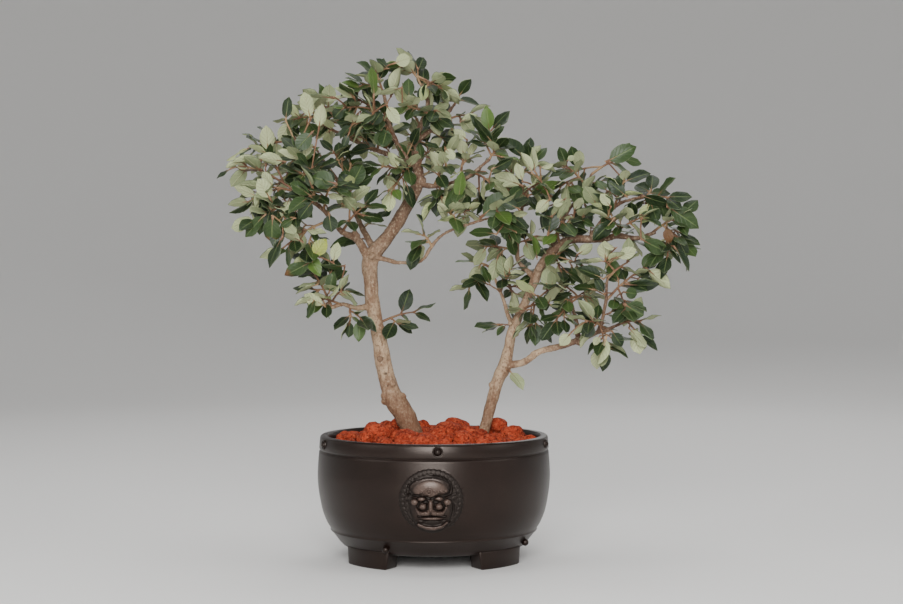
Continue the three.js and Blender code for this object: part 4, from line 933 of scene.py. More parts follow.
def make_wood(name, bark):
    """A trunk with its boughs, knobs and roots, grown together under a rough bark."""
    tree, sides = TREES[name], BARK["bough_sides"]
    trunk = ROUTES[tree["trunk"]]
    routes = [(trunk, BARK["trunk_sides"], WANDER["trunk"])]
    routes += [(ROUTES[bough], sides, WANDER["bough"]) for bough in tree["boughs"]]
    routes += [(root_route(trunk[0], degrees), sides, WANDER["root"]) for degrees in tree["roots"]]
    bm = bmesh.new()
    for seed, (route, corners, wander) in enumerate(routes):
        line = gnarled(smooth_line(route, BARK["step"]), wander, seed)
        tube(bm, [(*p[:3], p[3] + BARK["grow"]) for p in line], corners)
    for *spot, radius in KNOBS[name]:
        place = Matrix.Translation(spot)
        bmesh.ops.create_icosphere(bm, subdivisions=BARK["knob_detail"], radius=radius, matrix=place)
    wood = scratch_object(bm)
    remesh = wood.modifiers.new("one skin", "REMESH")
    remesh.mode, remesh.voxel_size = "VOXEL", BARK["voxel"]
    bm = as_bmesh(wood)
    for _ in range(BARK["smooth"]):
        bmesh.ops.smooth_vert(
            bm, verts=bm.verts, factor=0.5, use_axis_x=True, use_axis_y=True, use_axis_z=True
        )
    bm.normal_update()
    for v in bm.verts:
        v.co += v.normal * wrinkle(v)
    make_piece(bm, name + "_bark", [bark], [name], SHARP["bark"])


# Leaves and twigs


def point_on(route, at):
    """The point on a route at a place counted in points from its start."""
    i = int(at)
    return Vector(route[i][:3]).lerp(Vector(route[i + 1][:3]), at - i)


def is_single(spray):
    """Whether a spray is one leaf by itself."""
    return len(spray) > 5


class TwigCurve:
    """A twig's line: a bow from its root to its tip."""

    def __init__(self, start, end):
        self.start, self.end = start, end
        self.middle = start.lerp(end, 0.5) + Vector((0, 0, TWIG["bow"] * (end - start).length))
        spots = [self.point(i / TWIG["cuts"]) for i in range(TWIG["cuts"] + 1)]
        self.long = sum((b - a).length for a, b in zip(spots, spots[1:]))

    def point(self, s):
        return self.start * (1 - s) ** 2 + self.middle * 2 * s * (1 - s) + self.end * s * s

    def along(self, s):
        return ((self.middle - self.start) * (1 - s) + (self.end - self.middle) * s).normalized()


class Twig:
    """A twig, its nodes and the three-faced collar at each node, which its leaves grow from."""

    def __init__(self, curve, order, number, single):
        self.curve, self.order = curve, order
        self.root = TWIG["fork"] if order else TWIG["root"]
        half = NODES["collar"] / curve.long / 2
        fitting = math.floor(curve.long / NODES["spacing"] + 0.5)
        count = 1 if single else min(max(fitting, NODES["least"]), NODES["most"])
        end = 1 - half
        step = (end - NODES["first"]) / count
        self.places = [end - step * i for i in reversed(range(count))]
        spots = [0, *[s + side for s in self.places for side in (-half, half)]]
        start = 2 * math.pi * dice(number, order)()
        self.turns = [start + (GOLDEN_TURN - THIRD) * (max(i - 1, 0) // 2) for i in range(len(spots))]
        self.axes = ring_places([(*curve.point(s), self.thick(s)) for s in spots])

    def thick(self, s):
        return self.root + (TWIG["tip"] - self.root) * s

    def corner(self, ring, k):
        turn = THIRD * k + self.turns[ring]
        return self.axes[ring] @ Vector((math.cos(turn), math.sin(turn), 0))

    def facing(self, node, leaf):
        """The way that a leaf's face of the collar looks."""
        low = 2 * node + 1
        first, after = self.corner(low, (node + leaf) % 3), self.corner(low, (node + leaf + 1) % 3)
        return (first + after) / 2 - self.curve.point(self.places[node])

    def free_side(self, node):
        """The way that looks away from both of a node's leaves."""
        return -(self.facing(node, 0) + self.facing(node, 1))


def leaf_pose(curve, s, facing, lean, seeds, end=False, size=1):
    """Where a leaf grows and how it lies, by the same rule as in the spray's solid."""
    roll = dice(*seeds)
    turn_roll, pitch_roll, x_roll, y_roll, long_roll, wide_roll = [2 * roll() - 1 for _ in range(6)]
    attempt = seeds[-1]
    along = curve.along(s)
    outward = (facing - along * facing.dot(along)).normalized()
    turn = LEAF["stray"] * turn_roll * (1 + attempt)
    first, last = LEAF["open"]
    pitch = first + (last - first) * s + LEAF["open_stray"] * pitch_roll
    if end:
        pitch = LEAF["end_open"] + LEAF["end_step"] * attempt
    aside = outward * math.cos(turn) + along.cross(outward) * math.sin(turn)
    direction = along * math.cos(pitch) + aside * math.sin(pitch)
    sway_x, sway_y, rise = LEAF["face"]
    side = direction.cross(Vector((sway_x * x_roll, lean + sway_y * y_roll, rise))).normalized()
    length = size * LEAF["length"] * (1 + LEAF["spread"] * long_roll)
    half = length * LEAF["width"] * (1 + LEAF["width_stray"] * wide_roll) / 2
    return Leaf(curve.point(s), direction, side, length, half)


class Leaf:
    """A leaf's root, directions and size in millimetres."""

    def __init__(self, root, direction, side, length, half):
        self.root, self.direction, self.side = root, direction, side
        self.normal = side.cross(direction)
        self.length, self.half = length, half

    def spot(self, u):
        drop = LEAF["droop"] * self.length * u * u
        return self.root + self.direction * (u * self.length) - self.normal * drop

    def matrix(self):
        columns = (self.side * self.half, self.direction * self.length, self.normal * self.length)
        return Matrix.Translation(self.root) @ Matrix(columns).transposed().to_4x4()


def from_photo(px, py, y):
    """The place at depth y that shows at a pixel of the photograph."""
    focal = CAMERA["lens"] / CAMERA["sensor"] * PHOTO["width"]
    right = px - PHOTO["width"] / 2 + focal * math.tan(math.radians(CAMERA["yaw"]))
    down = py - PHOTO["height"] / 2 + focal * math.tan(math.radians(CAMERA["pitch"]))
    spot = Vector(CAMERA["spot"])
    far = (y - spot.y) / focal
    return Vector((spot.x + right * far, y, spot.z - down * far))


def shown_leaf(row, curves, roll):
    """A leaf that shows at its pixels, on a short shoot of the twig that lies nearest to it."""
    root_x, root_y, tip_x, tip_y, half, kind = row
    choices = []
    for number, curve in curves:
        for i in range(SHOW["first"], SHOW["steps"] + 1):
            spot = curve.point(i / SHOW["steps"])
            away = (from_photo(root_x, root_y, spot.y) - spot).length
            if away < SHOW["near"]:
                choices.append((away + SHOW["front"] * spot.y, number, spot))
    _, owner, start = min(choices, key=lambda choice: choice[0])
    depth = start.y - SHOW["before"]
    root = from_photo(root_x, root_y, depth)
    long = (from_photo(tip_x, tip_y, depth) - root).length
    tip = from_photo(tip_x, tip_y, depth + between(roll, -1, 1) * SHOW["slant"] * long)
    length = (tip - root).length
    direction = (tip - root) / length
    shown = half * long / math.hypot(tip_x - root_x, tip_y - root_y)
    real = max(shown, SHOW["wide"] * length)
    tilt = math.acos(shown / real) * (1 if roll() > 0.5 else -1)
    tilt += between(roll, -SHOW["tilt"], SHOW["tilt"])
    facing = Vector((0, 1 if kind == "pale" else -1, 0))
    normal = Matrix.Rotation(tilt, 3, direction) @ (facing - direction * facing.dot(direction)).normalized()
    leaf = Leaf(root, direction, direction.cross(normal), length, real)
    return owner, TwigCurve(start, root), leaf, KINDS[kind]


# The blades' forms: how folded along the rib, how arched, how waved, and how full the outline is
BLADES = [
    {"fold": 0.26, "arch": 0.13, "wave": 0.05, "full": 0.8, "widest": 0.47},
    {"fold": 0.12, "arch": 0.1, "wave": 0.09, "full": 0.7, "widest": 0.5},
    {"fold": 0.42, "arch": 0.17, "wave": 0.03, "full": 0.86, "widest": 0.46},
    {"fold": 0.05, "arch": 0.15, "wave": 0.12, "full": 0.72, "widest": 0.52},
    {"fold": 0.2, "arch": 0.2, "wave": 0.07, "full": 0.66, "widest": 0.53},
    {"fold": 0.34, "arch": 0.11, "wave": 0.1, "full": 0.78, "widest": 0.47},
]
# What they share, measured by a blade's length; its waves run along it and differ between its sides
BLADE = {
    "start": 0.1, "cuts": (4, 6), "bunch": 0.04, "least": 0.02, "half": 0.27, "waves": (7, 1.7, 1.3),
    "thick": 0.02, "curl": 0.03, "stalk": ((0, 0.045), (0.12, 0.036), (0.36, 0.01575)), "stalk_sides": 4,
    "stalk_wide": 3.6,
}
# The materials of a spray, by their place in its list
TOP, UNDER, TWIG_SKIN, BUD_SKIN = range(4)


def blade_shape(form, number, turned):
    """One leaf of length 1 and half width 1, with its stalk; a turned one has its pale side up."""
    bm = bmesh.new()
    layer = bm.verts.layers.float_vector.new("leaf")
    across, along = BLADE["cuts"]
    bmesh.ops.create_grid(bm, x_segments=across, y_segments=along, size=1)
    bend = math.log(0.5) / math.log(form["widest"])
    half = BLADE["half"]
    waves, next_blade, other_side = BLADE["waves"]
    for v in bm.verts:
        t = (v.co.y + 1) / 2
        t = t + BLADE["bunch"] * math.sin(2 * math.pi * t) * (1 - abs(t - 0.5))
        wide = (4 * t**bend * (1 - t**bend)) ** form["full"] if 0 < t < 1 else 0
        x = v.co.x * max(wide, BLADE["least"])
        u = BLADE["start"] + (1 - BLADE["start"]) * t
        phase = waves * t + next_blade * number + (other_side if x > 0 else 0)
        wave = form["wave"] * math.sin(phase) * x * x
        lift = form["fold"] * half * abs(x) + wave * half * 2 - BLADE["curl"] * abs(x) ** 3
        v[layer] = (v.co.x, t, 0)
        v.co = (x, u, lift - form["arch"] * u * u + (form["arch"] - LEAF["droop"]) * u**4)
    tops = len(bm.faces)
    bmesh.ops.solidify(bm, geom=bm.faces[:], thickness=BLADE["thick"])
    for i, face in enumerate(bm.faces):
        below = tops <= i < 2 * tops
        face.material_index = UNDER if below != turned else TOP
    stalk = [(0, u, -form["arch"] * u * u - BLADE["thick"] / 2, thick) for u, thick in BLADE["stalk"]]
    for v in tube(bm, stalk, BLADE["stalk_sides"]):
        v.co.x *= BLADE["stalk_wide"]
        v[layer] = (0, 0, 0)
        for face in v.link_faces:
            face.material_index = TWIG_SKIN
    mesh = bpy.data.meshes.new("blade_%d" % number)
    bm.to_mesh(mesh)
    bm.free()
    return mesh


def add_leaf(bm, leaf, mesh, tint):
    first = len(bm.verts)
    bm.from_mesh(mesh)
    bm.verts.ensure_lookup_table()
    made = bm.verts[first:]
    bmesh.ops.transform(bm, matrix=leaf.matrix(), verts=made)
    layer = bm.verts.layers.float_vector["leaf"]
    for v in made:
        x, t, _ = v[layer]
        v[layer] = (x, t, tint)


def add_bud(bm, root, direction, size):
    axes = direction.to_track_quat("Z", "Y").to_matrix().to_4x4()
    place = Matrix.Translation(root + direction * size) @ axes @ Matrix.Diagonal((*BUD["form"], 1))
    for v in bmesh.ops.create_icosphere(bm, subdivisions=1, radius=size, matrix=place)["verts"]:
        for face in v.link_faces:
            face.material_index = BUD_SKIN


def add_stem(bm, curve, places, thick):
    """A round, slightly crooked stem, a little thicker at each place that bears leaves."""
    sizes = {0: 1, 1: STEM["end"]}
    for s in places:
        for shift, size in STEM["node"]:
            sizes[min(s + shift, 1)] = size
    for i in range(1, STEM["cuts"]):
        sizes.setdefault(i / STEM["cuts"] + STEM["shift"], 1)
    fine_x, fine_y = STEM["crook_scale"]
    apart = Vector((STEM["apart"], 0, 0))
    line = []
    for s in sorted(sizes):
        spot = curve.point(s)
        bend = Vector((noise.noise(spot * fine_x), noise.noise(spot * fine_y + apart), 0)) * STEM["crook"]
        spot += bend * math.sin(math.pi * s)
        line.append((*spot, thick(s) * STEM["slim"] * sizes[s]))
    for v in tube(bm, line, STEM["sides"]):
        for face in v.link_faces:
            face.material_index = TWIG_SKIN
    add_bud(bm, curve.point(1), curve.along(1), BUD["end"])


class Room:
    """The middle lines of the leaves so far, to keep a new leaf clear of them."""

    def __init__(self):
        self.spots = []

    def add(self, leaf):
        self.spots += [tuple(leaf.spot(u)) for u in ROOM["samples"]]

    def settle(self):
        self.near = np.array(self.spots)

    def fits(self, leaf):
        new = np.array([tuple(leaf.spot(u)) for u in ROOM["samples"]])
        low, high = [np.array(FROM_PLACE @ corner) for corner in cad_box]
        if (new < low + ROOM["edge"]).any() or (new > high - ROOM["edge"]).any():
            return False
        apart = ((self.near[None, :, :] - new[:, None, :]) ** 2).sum(2)
        return float(apart.min()) > ROOM["clear"] ** 2


def leaves_of_solid(spray, number, twigs):
    """The leaves that the spray's solid holds, found again at their tips."""
    name, lean = spray[0], spray[3]
    corners = [FROM_PLACE @ v.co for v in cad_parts[name].data.vertices]
    tree = kdtree.KDTree(len(corners))
    for i, spot in enumerate(corners):
        tree.insert(spot, i)
    tree.balance()
    found = []
    count = 1 if is_single(spray) else NODES["leaves"]
    for twig in twigs:
        for node, place in enumerate(twig.places):
            for leaf in range(count):
                ends = node == len(twig.places) - 1 and leaf == 0
                facing = twig.facing(node, leaf)
                for attempt in range(LEAF["tries"]):
                    seeds = (number, twig.order, node, leaf, attempt)
                    pose = leaf_pose(twig.curve, place, facing, lean, seeds, ends)
                    if tree.find(pose.spot(1))[2] < LEAF["found"]:
                        found.append(pose)
                        break
    return found


def shoot_at(start, along, seeds, lean, room, long):
    """A short side shoot with its leaves, or nothing where they have no room."""
    for attempt in range(SHOOTS["tries"]):
        roll = dice(*seeds, attempt)
        aside = Matrix.Rotation(2 * math.pi * roll(), 3, along) @ along.orthogonal().normalized()
        open_ = between(roll, *SHOOTS["open"])
        direction = along * math.cos(open_) + aside * math.sin(open_)
        curve = TwigCurve(start, start + direction * long * between(roll, *SHOOTS["stray"]))
        leaves = []
        for i, (place, size) in enumerate(SHOOTS["leaves"]):
            facing = Matrix.Rotation(i * GOLDEN_TURN + SHOOTS["turn"] * roll(), 3, along) @ aside
            pose = leaf_pose(curve, place, facing, lean, (*seeds, attempt, i), i == 0, size)
            if room.fits(pose):
                leaves.append(pose)
        if len(leaves) > 1:
            for leaf in leaves:
                room.add(leaf)
            room.settle()
            return curve, leaves
    return None


def own_lean(spray):
    """How far the smaller leaves of a spray tip to the back: less than its own large ones."""
    share, shift = SHOOTS["lean"]
    return spray[3] * share + shift


def filling_leaves(spray, number, twigs, room):
    """Smaller leaves between the nodes, where there is room for them."""
    added = []
    for twig in twigs:
        for node, place in enumerate(twig.places):
            at = max(place - FILLING["back"], FILLING["first"])
            facing, lean = twig.free_side(node), own_lean(spray)
            for attempt in range(FILLING["tries"]):
                seeds = (number, twig.order, node, FILLING["seed"], attempt)
                pose = leaf_pose(twig.curve, at, facing, lean, seeds, size=FILLING["size"])
                if room.fits(pose):
                    room.add(pose)
                    room.settle()
                    added.append(pose)
                    break
    return added


def spray_shoots(spray, number, twigs, room):
    found = []
    for twig in twigs:
        for rank, s in enumerate(SHOOTS["spots"]):
            seeds = (number, twig.order, rank, SHOOTS["seed"])
            start, along = twig.curve.point(s), twig.curve.along(s)
            found.append(shoot_at(start, along, seeds, own_lean(spray), room, SHOOTS["long"]))
    return [shoot for shoot in found if shoot]


def pick(shapes, roll):
    """One of the blades' shapes, now and then one that lies turned over."""
    form = int(roll() * len(BLADES))
    return shapes[form + len(BLADES) * (roll() < SHOOTS["turned"])]


def add_shoot(bm, shoot, shapes, roll):
    curve, leaves = shoot
    add_stem(bm, curve, SHOOTS["nodes"], lambda s: SHOOTS["thick"] * (1 - SHOOTS["taper"] * s))
    for leaf in leaves:
        add_leaf(bm, leaf, pick(shapes, roll), roll() * RIPE)


def bough_shoots(tree, room):
    """Short shoots straight from the young wood of a tree."""
    found = []
    for number, name in enumerate([TREES[tree]["trunk"], *TREES[tree]["boughs"]]):
        if name in SPURS["bare"]:
            continue
        line = smooth_line(ROUTES[name], SPURS["step"])
        for i, (here, after) in enumerate(zip(line, line[1:])):
            if here[3] > SPURS["thickest"]:
                continue
            start, along = Vector(here[:3]), (Vector(after[:3]) - Vector(here[:3])).normalized()
            lean = between(dice(number, i, SPURS["lean_seed"]), *SPURS["lean"])
            found.append(shoot_at(start, along, (number, i, SPURS["seed"]), lean, room, SPURS["long"]))
    return [shoot for shoot in found if shoot]


def leafy_mesh():
    bm = bmesh.new()
    bm.verts.layers.float_vector.new("leaf")
    return bm


def grown_twigs(spray, number):
    """A spray's twigs: its stem and the ones that fork from it."""
    on, at, tips = spray[1], spray[2], spray[4]
    stem = TwigCurve(point_on(ROUTES[on], at), Vector(tips[0]))
    forks = [stem.point(TWIG["fork_at"] + i * TWIG["fork_step"]) for i in range(len(tips) - 1)]
    curves = [stem, *[TwigCurve(fork, Vector(tip)) for fork, tip in zip(forks, tips[1:])]]
    return [Twig(curve, order, number, is_single(spray)) for order, curve in enumerate(curves)]


def add_twig(bm, twig):
    """A twig with a bud at its end and one beside the leaves of each node."""
    add_stem(bm, twig.curve, twig.places, twig.thick)
    for node, place in enumerate(twig.places):
        third = twig.free_side(node).normalized()
        spot = twig.curve.point(place) + third * twig.thick(place) * BUD["seat"]
        add_bud(bm, spot, (third + twig.curve.along(place)).normalized(), BUD["side"])


def make_sprays(materials):
    sprays = []
    room = Room()
    for number, spray in enumerate(SPRAYS):
        twigs = grown_twigs(spray, number)
        leaves = leaves_of_solid(spray, number, twigs)
        for leaf in leaves:
            room.add(leaf)
        sprays.append((spray, twigs, leaves))
    curves = [(number, twig.curve) for number, (_, twigs, _) in enumerate(sprays) for twig in twigs]
    roll = dice(SHOW["seed"])
    shown = [shown_leaf(row, curves, roll) for row in SHOWN]
    for _, _, leaf, _ in shown:
        room.add(leaf)
    room.settle()
    shapes = [blade_shape(form, i, turned) for turned in (False, True) for i, form in enumerate(BLADES)]
    for number, (spray, twigs, leaves) in enumerate(sprays):
        thin = is_single(spray) or spray[0] in THIN_SPRAYS
        shoots = [] if thin else spray_shoots(spray, number, twigs, room)
        leaves = leaves if thin else leaves + filling_leaves(spray, number, twigs, room)
        roll = dice(number, LOOK_SEED)
        bm = leafy_mesh()
        for twig in twigs:
            add_twig(bm, twig)
        for leaf in leaves:
            shape = shapes[-1] if is_single(spray) else pick(shapes, roll)
            add_leaf(bm, leaf, shape, roll() * RIPE)
        for owner, curve, leaf, tint in shown:
            if owner == number:
                add_stem(bm, curve, [SHOW["node"]], lambda s: SHOOTS["thick"])
                add_leaf(bm, leaf, shapes[int(roll() * len(BLADES))], tint)
        for shoot in shoots:
            add_shoot(bm, shoot, shapes, roll)
        make_piece(bm, spray[0] + "_leaves", materials, [spray[0]], SHARP["leaves"])
    for tree in TREES:
        roll = dice(len(tree), SPURS["look_seed"])
        bm = leafy_mesh()
        for shoot in bough_shoots(tree, room):
            add_shoot(bm, shoot, shapes, roll)
        make_piece(bm, tree + "_spurs", materials, (), SHARP["leaves"])
    for shape in shapes:
        bpy.data.meshes.remove(shape)


# Materials


class Skin:
    """A material that is built node by node on the object's own millimetres."""

    def __init__(self, name, roughness, specular=0.5):
        self.material = bpy.data.materials.new(name)
        self.material.use_nodes = True
        self.nodes, self.links = self.material.node_tree.nodes, self.material.node_tree.links
        self.shader = self.nodes["Principled BSDF"]
        self.shader.inputs["Roughness"].default_value = roughness
        self.shader.inputs["Specular IOR Level"].default_value = specular
        place = self.nodes.new("ShaderNodeTexCoord")
        grow = self.nodes.new("ShaderNodeVectorMath")
        grow.operation = "SCALE"
        grow.inputs["Scale"].default_value = 1 / MM
        self.links.new(place.outputs["Object"], grow.inputs[0])
        self.place = grow.outputs[0]

    def noise(self, scale, detail=3, rough=0.55, place=None):
        made = self.nodes.new("ShaderNodeTexNoise")
        made.inputs["Scale"].default_value = scale
        made.inputs["Detail"].default_value = detail
        made.inputs["Roughness"].default_value = rough
        self.links.new(place or self.place, made.inputs["Vector"])
        return made.outputs["Fac"]

    def cells(self, scale):
        made = self.nodes.new("ShaderNodeTexVoronoi")
        made.inputs["Scale"].default_value = scale
        self.links.new(self.place, made.inputs["Vector"])
        return made.outputs["Distance"]

    def stretch(self, x, y, z):
        made = self.nodes.new("ShaderNodeVectorMath")
        made.operation = "MULTIPLY"
        made.inputs[1].default_value = (x, y, z)
        self.links.new(self.place, made.inputs[0])
        return made.outputs[0]

    def away(self, x, y, z, radius):
        """How far a spot of the skin lies from a round mark, where its edge is at 0.5."""
        made = self.nodes.new("ShaderNodeVectorMath")
        made.operation = "DISTANCE"
        made.inputs[1].default_value = (TO_PLACE @ Vector((x, y, z))) / MM
        self.links.new(self.place, made.inputs[0])
        return self.math("DIVIDE", made.outputs["Value"], radius * 2)

    def ramp(self, value, stops):
        made = self.nodes.new("ShaderNodeValToRGB")
        bar = made.color_ramp.elements
        while len(bar) < len(stops):
            bar.new(0.5)
        for stop, (spot, color) in zip(bar, stops):
            stop.position = spot
            stop.color = (*color, 1) if isinstance(color, tuple) else (color, color, color, 1)
        self.links.new(value, made.inputs["Fac"])
        return made.outputs["Color"]

    def mix(self, amount, first, second):
        made = self.nodes.new("ShaderNodeMix")
        made.data_type = "RGBA"
        sockets = [s for s in made.inputs if s.type == "RGBA"]
        for socket, value in ((made.inputs["Factor"], amount), (sockets[0], first), (sockets[1], second)):
            if isinstance(value, bpy.types.NodeSocket):
                self.links.new(value, socket)
            elif isinstance(value, tuple):
                socket.default_value = (*value, 1)
            else:
                socket.default_value = value
        return next(s for s in made.outputs if s.type == "RGBA")

    def layer(self, base, value, stops, color):
        """A color laid over the base where the value's ramp is high."""
        return self.mix(self.ramp(value, stops), base, color)

    def math(self, operation, first, second=0.0, third=None):
        made = self.nodes.new("ShaderNodeMath")
        made.operation = operation
        for socket, value in zip(made.inputs, (first, second, third)):
            if isinstance(value, bpy.types.NodeSocket):
                self.links.new(value, socket)
            elif value is not None:
                socket.default_value = value
        return made.outputs[0]

    def color(self, value):
        self.set("Base Color", value)

    def set(self, name, value):
        if isinstance(value, bpy.types.NodeSocket):
            self.links.new(value, self.shader.inputs[name])
        else:
            self.shader.inputs[name].default_value = (*value, 1) if isinstance(value, tuple) else value

    def bump(self, height, depth, strength=1):
        """Raises the skin by height, at full 1, by depth in millimetres."""
        made = self.nodes.new("ShaderNodeBump")
        made.inputs["Strength"].default_value = strength
        made.inputs["Distance"].default_value = depth * MM
        self.links.new(height, made.inputs["Height"])
        self.links.new(made.outputs["Normal"], self.shader.inputs["Normal"])


def clay_skin():
    """Dark brown, unglazed stoneware with a satin sheen, with painted shade on the masks' low relief and a
    painted highlight with some wear on their highest features.
    """
    skin = Skin("dark_stoneware", 0.36, 0.37)
    cloud = skin.noise(0.03, 4)
    grain = skin.noise(0.9, 4)
    base = skin.ramp(cloud, [(0.3, (0.0042, 0.0017, 0.0012)), (0.7, (0.0085, 0.0039, 0.0028))])
    base = skin.layer(base, grain, [(0.5, 0.0), (0.8, 0.4)], (0.021, 0.0115, 0.0085))
    noted = skin.nodes.new("ShaderNodeAttribute")
    noted.attribute_name = "relief"
    relief = skin.math("DIVIDE", noted.outputs["Fac"], 8.0)
    # Painted shade: the masks' low relief, mostly the mane, is darkened as if in shade, and is rougher
    hollow = skin.ramp(relief, [(0.02, 0.0), (0.07, 0.85), (0.3, 0.85), (0.42, 0.0)])
    # Painted highlight with some wear: the highest features of the masks are paler, as if lit, broken up by
    # the grain
    raised = skin.ramp(relief, [(0.42, 0.0), (0.6, 1.0)])
    painted_highlight_and_wear = skin.math("MULTIPLY", raised, skin.ramp(grain, [(0.3, 0.6), (0.6, 1.0)]))
    # Lays on the painted shade, then the paler painted highlight and wear
    base = skin.mix(hollow, base, (0.0022, 0.001, 0.0007))
    base = skin.mix(painted_highlight_and_wear, base, (0.075, 0.05, 0.04))
    skin.color(base)
    satin = skin.ramp(cloud, [(0.2, 0.3), (0.8, 0.4)])
    skin.set("Roughness", skin.math("MULTIPLY_ADD", hollow, 0.22, satin))
    skin.set("Specular Tint", (1.0, 0.86, 0.78))
    skin.bump(grain, 0.1, 0.45)
    return skin.material


def earth_skin():
    skin = Skin("potting_soil", 0.95, 0.2)
    crumbs = skin.noise(0.5, 5, 0.7)
    skin.color(skin.ramp(crumbs, [(0.3, (0.012, 0.007, 0.004)), (0.75, (0.06, 0.034, 0.018))]))
    skin.bump(skin.noise(0.9, 4), 0.8)
    return skin.material


def lava_skin(name, dark, light, dust):
    """Porous stone: patches of red, paler dust on its crags, and painted shade in its crevices and pits."""
    skin = Skin(name, 0.9, 0.2)
    patch = skin.noise(0.09, 4, 0.6)
    crumbs = skin.noise(0.42, 5, 0.72)
    pits = skin.cells(0.42)
    base = skin.ramp(patch, [(0.36, dark), (0.62, light)])
    base = skin.layer(base, crumbs, [(0.5, 0.0), (0.66, 0.8)], dust)
    # Painted shade: darker where the crumbs are low, which the bump below sinks into crevices
    base = skin.layer(base, crumbs, [(0.34, 0.7), (0.47, 0.0)], tuple(c * 0.3 for c in dark))
    # Painted shade: near black in the pits, which the bump below sinks
    base = skin.layer(base, pits, [(0.1, 0.65), (0.28, 0.0)], tuple(c * 0.14 for c in dark))
    skin.color(base)
    skin.bump(skin.math("ADD", skin.ramp(pits, [(0.05, 0.0), (0.4, 1.0)]), crumbs), 1.4, 1)
    return skin.material


# Marks on the bark, as (x, y, z, radius): an old pruning scar, and small dark specks
SCAR = (-46.2, -7, 173.6, 3.4)
SPECKS = [
    (-41.6, -8, 160.6, 1.3), (-40.2, -8, 149.8, 1), (-39.8, -8.4, 139.6, 1.1), (-36, -9, 148, 0.9),
    (-44, -8, 152.5, 0.8), (-37.4, -9, 143.6, 0.8),
]
SCAR_STOPS = [(0.0, 0.35), (0.3, 0.3), (0.44, 0.85), (0.5, 0.0)]
SPECK_STOPS = [(0.3, 0.9), (0.6, 0.0)]


def bark_skin():
    """Mottled tan bark low down, and rougher red-brown bark in the crown."""
    skin = Skin("cotoneaster_bark", 0.7, 0.3)
    parts = skin.nodes.new("ShaderNodeSeparateXYZ")
    skin.links.new(skin.place, parts.inputs[0])
    patch = skin.noise(0.11, 4, 0.6, skin.stretch(1, 1, 0.55))
    mottle = skin.noise(0.6, 4, 0.65, skin.stretch(1, 1, 0.7))
    streak = skin.noise(0.75, 4, 0.65, skin.stretch(1, 1, 0.25))
    bands = skin.noise(0.8, 3, 0.6, skin.stretch(0.3, 0.3, 1.5))
    rise = skin.math("MULTIPLY_ADD", parts.outputs["Z"], 1 / 150, -1.55)
    rise = skin.math("ADD", rise, skin.math("MULTIPLY", patch, 0.9))
    right = skin.math("MULTIPLY_ADD", parts.outputs["X"], 1 / 20, -3.5)
    rise = skin.math("ADD", rise, skin.ramp(right, [(0.0, 0.0), (1.0, 0.85)]))
    foot = skin.ramp(skin.math("MULTIPLY_ADD", parts.outputs["Z"], -1 / 45, 3.65), [(0.0, 0.0), (1.0, 1.0)])
    foot = skin.math("MULTIPLY", foot, skin.ramp(parts.outputs["X"], [(0.0, 1.0), (1.0, 0.5)]))
    low = skin.ramp(patch, [(0.4, (0.2, 0.115, 0.066)), (0.6, (0.415, 0.295, 0.185))])
    low = skin.mix(skin.math("MULTIPLY", foot, 0.85), low, (0.14, 0.062, 0.032))
    high = skin.ramp(patch, [(0.34, (0.085, 0.042, 0.025)), (0.66, (0.2, 0.125, 0.08))])
    base = skin.mix(skin.ramp(rise, [(0.25, 0.0), (0.95, 1.0)]), low, high)
    base = skin.layer(base, mottle, [(0.53, 0.0), (0.66, 0.6)], (0.45, 0.35, 0.24))
    base = skin.layer(base, mottle, [(0.34, 0.85), (0.47, 0.0)], (0.11, 0.058, 0.035))
    base = skin.layer(base, streak, [(0.56, 0.0), (0.7, 0.6)], (0.075, 0.04, 0.026))
    base = skin.layer(base, bands, [(0.62, 0.0), (0.7, 0.5)], (0.34, 0.17, 0.085))
    base = skin.mix(skin.math("MULTIPLY", foot, 0.4), base, (0.16, 0.075, 0.038))
    base = skin.layer(base, skin.away(*SCAR), SCAR_STOPS, (0.085, 0.05, 0.03))
    for speck in SPECKS:
        base = skin.layer(base, skin.away(*speck), SPECK_STOPS, (0.05, 0.028, 0.018))
    skin.color(base)
    skin.bump(skin.math("ADD", skin.math("ADD", streak, bands), mottle), 0.8, 0.8)
    return skin.material


def twig_skin():
    skin = Skin("young_twig_bark", 0.6, 0.35)
    tone = skin.noise(0.06, 3)
    brown, tan, pale = (0.11, 0.05, 0.026), (0.19, 0.1, 0.053), (0.31, 0.2, 0.1)
    base = skin.ramp(tone, [(0.34, brown), (0.5, tan), (0.64, pale)])
    skin.color(skin.layer(base, skin.noise(0.9, 3), [(0.5, 0.0), (0.7, 0.6)], (0.08, 0.042, 0.026)))
    return skin.material


def bud_skin():
    skin = Skin("bud_scales", 0.55, 0.4)
    skin.color(skin.ramp(skin.noise(0.2, 2), [(0.35, (0.2, 0.09, 0.045)), (0.7, (0.4, 0.26, 0.15))]))
    return skin.material


def leaf_parts(skin):
    """The blade's own places: across it, along it, its tint, and how far it has turned brown."""
    made = skin.nodes.new("ShaderNodeAttribute")
    made.attribute_name = "leaf"
    parts = skin.nodes.new("ShaderNodeSeparateXYZ")
    skin.links.new(made.outputs["Vector"], parts.inputs[0])
    across = skin.math("ABSOLUTE", parts.outputs["X"])
    tint = skin.math("FRACT", parts.outputs["Z"])
    age = skin.math("FLOOR", parts.outputs["Z"])
    return across, parts.outputs["Y"], tint, age


def vein_lines(skin, across, along):
    """1 on the rib and the side veins, 0 between them."""
    rib = skin.ramp(across, [(0.03, 1.0), (0.1, 0.0)])
    bend = skin.math("MULTIPLY_ADD", across, -0.3, along)
    wave = skin.math("FRACT", skin.math("MULTIPLY", bend, 6.0))
    side = skin.ramp(wave, [(0.02, 1.0), (0.16, 0.0), (0.88, 0.0), (0.99, 1.0)])
    return rib, side


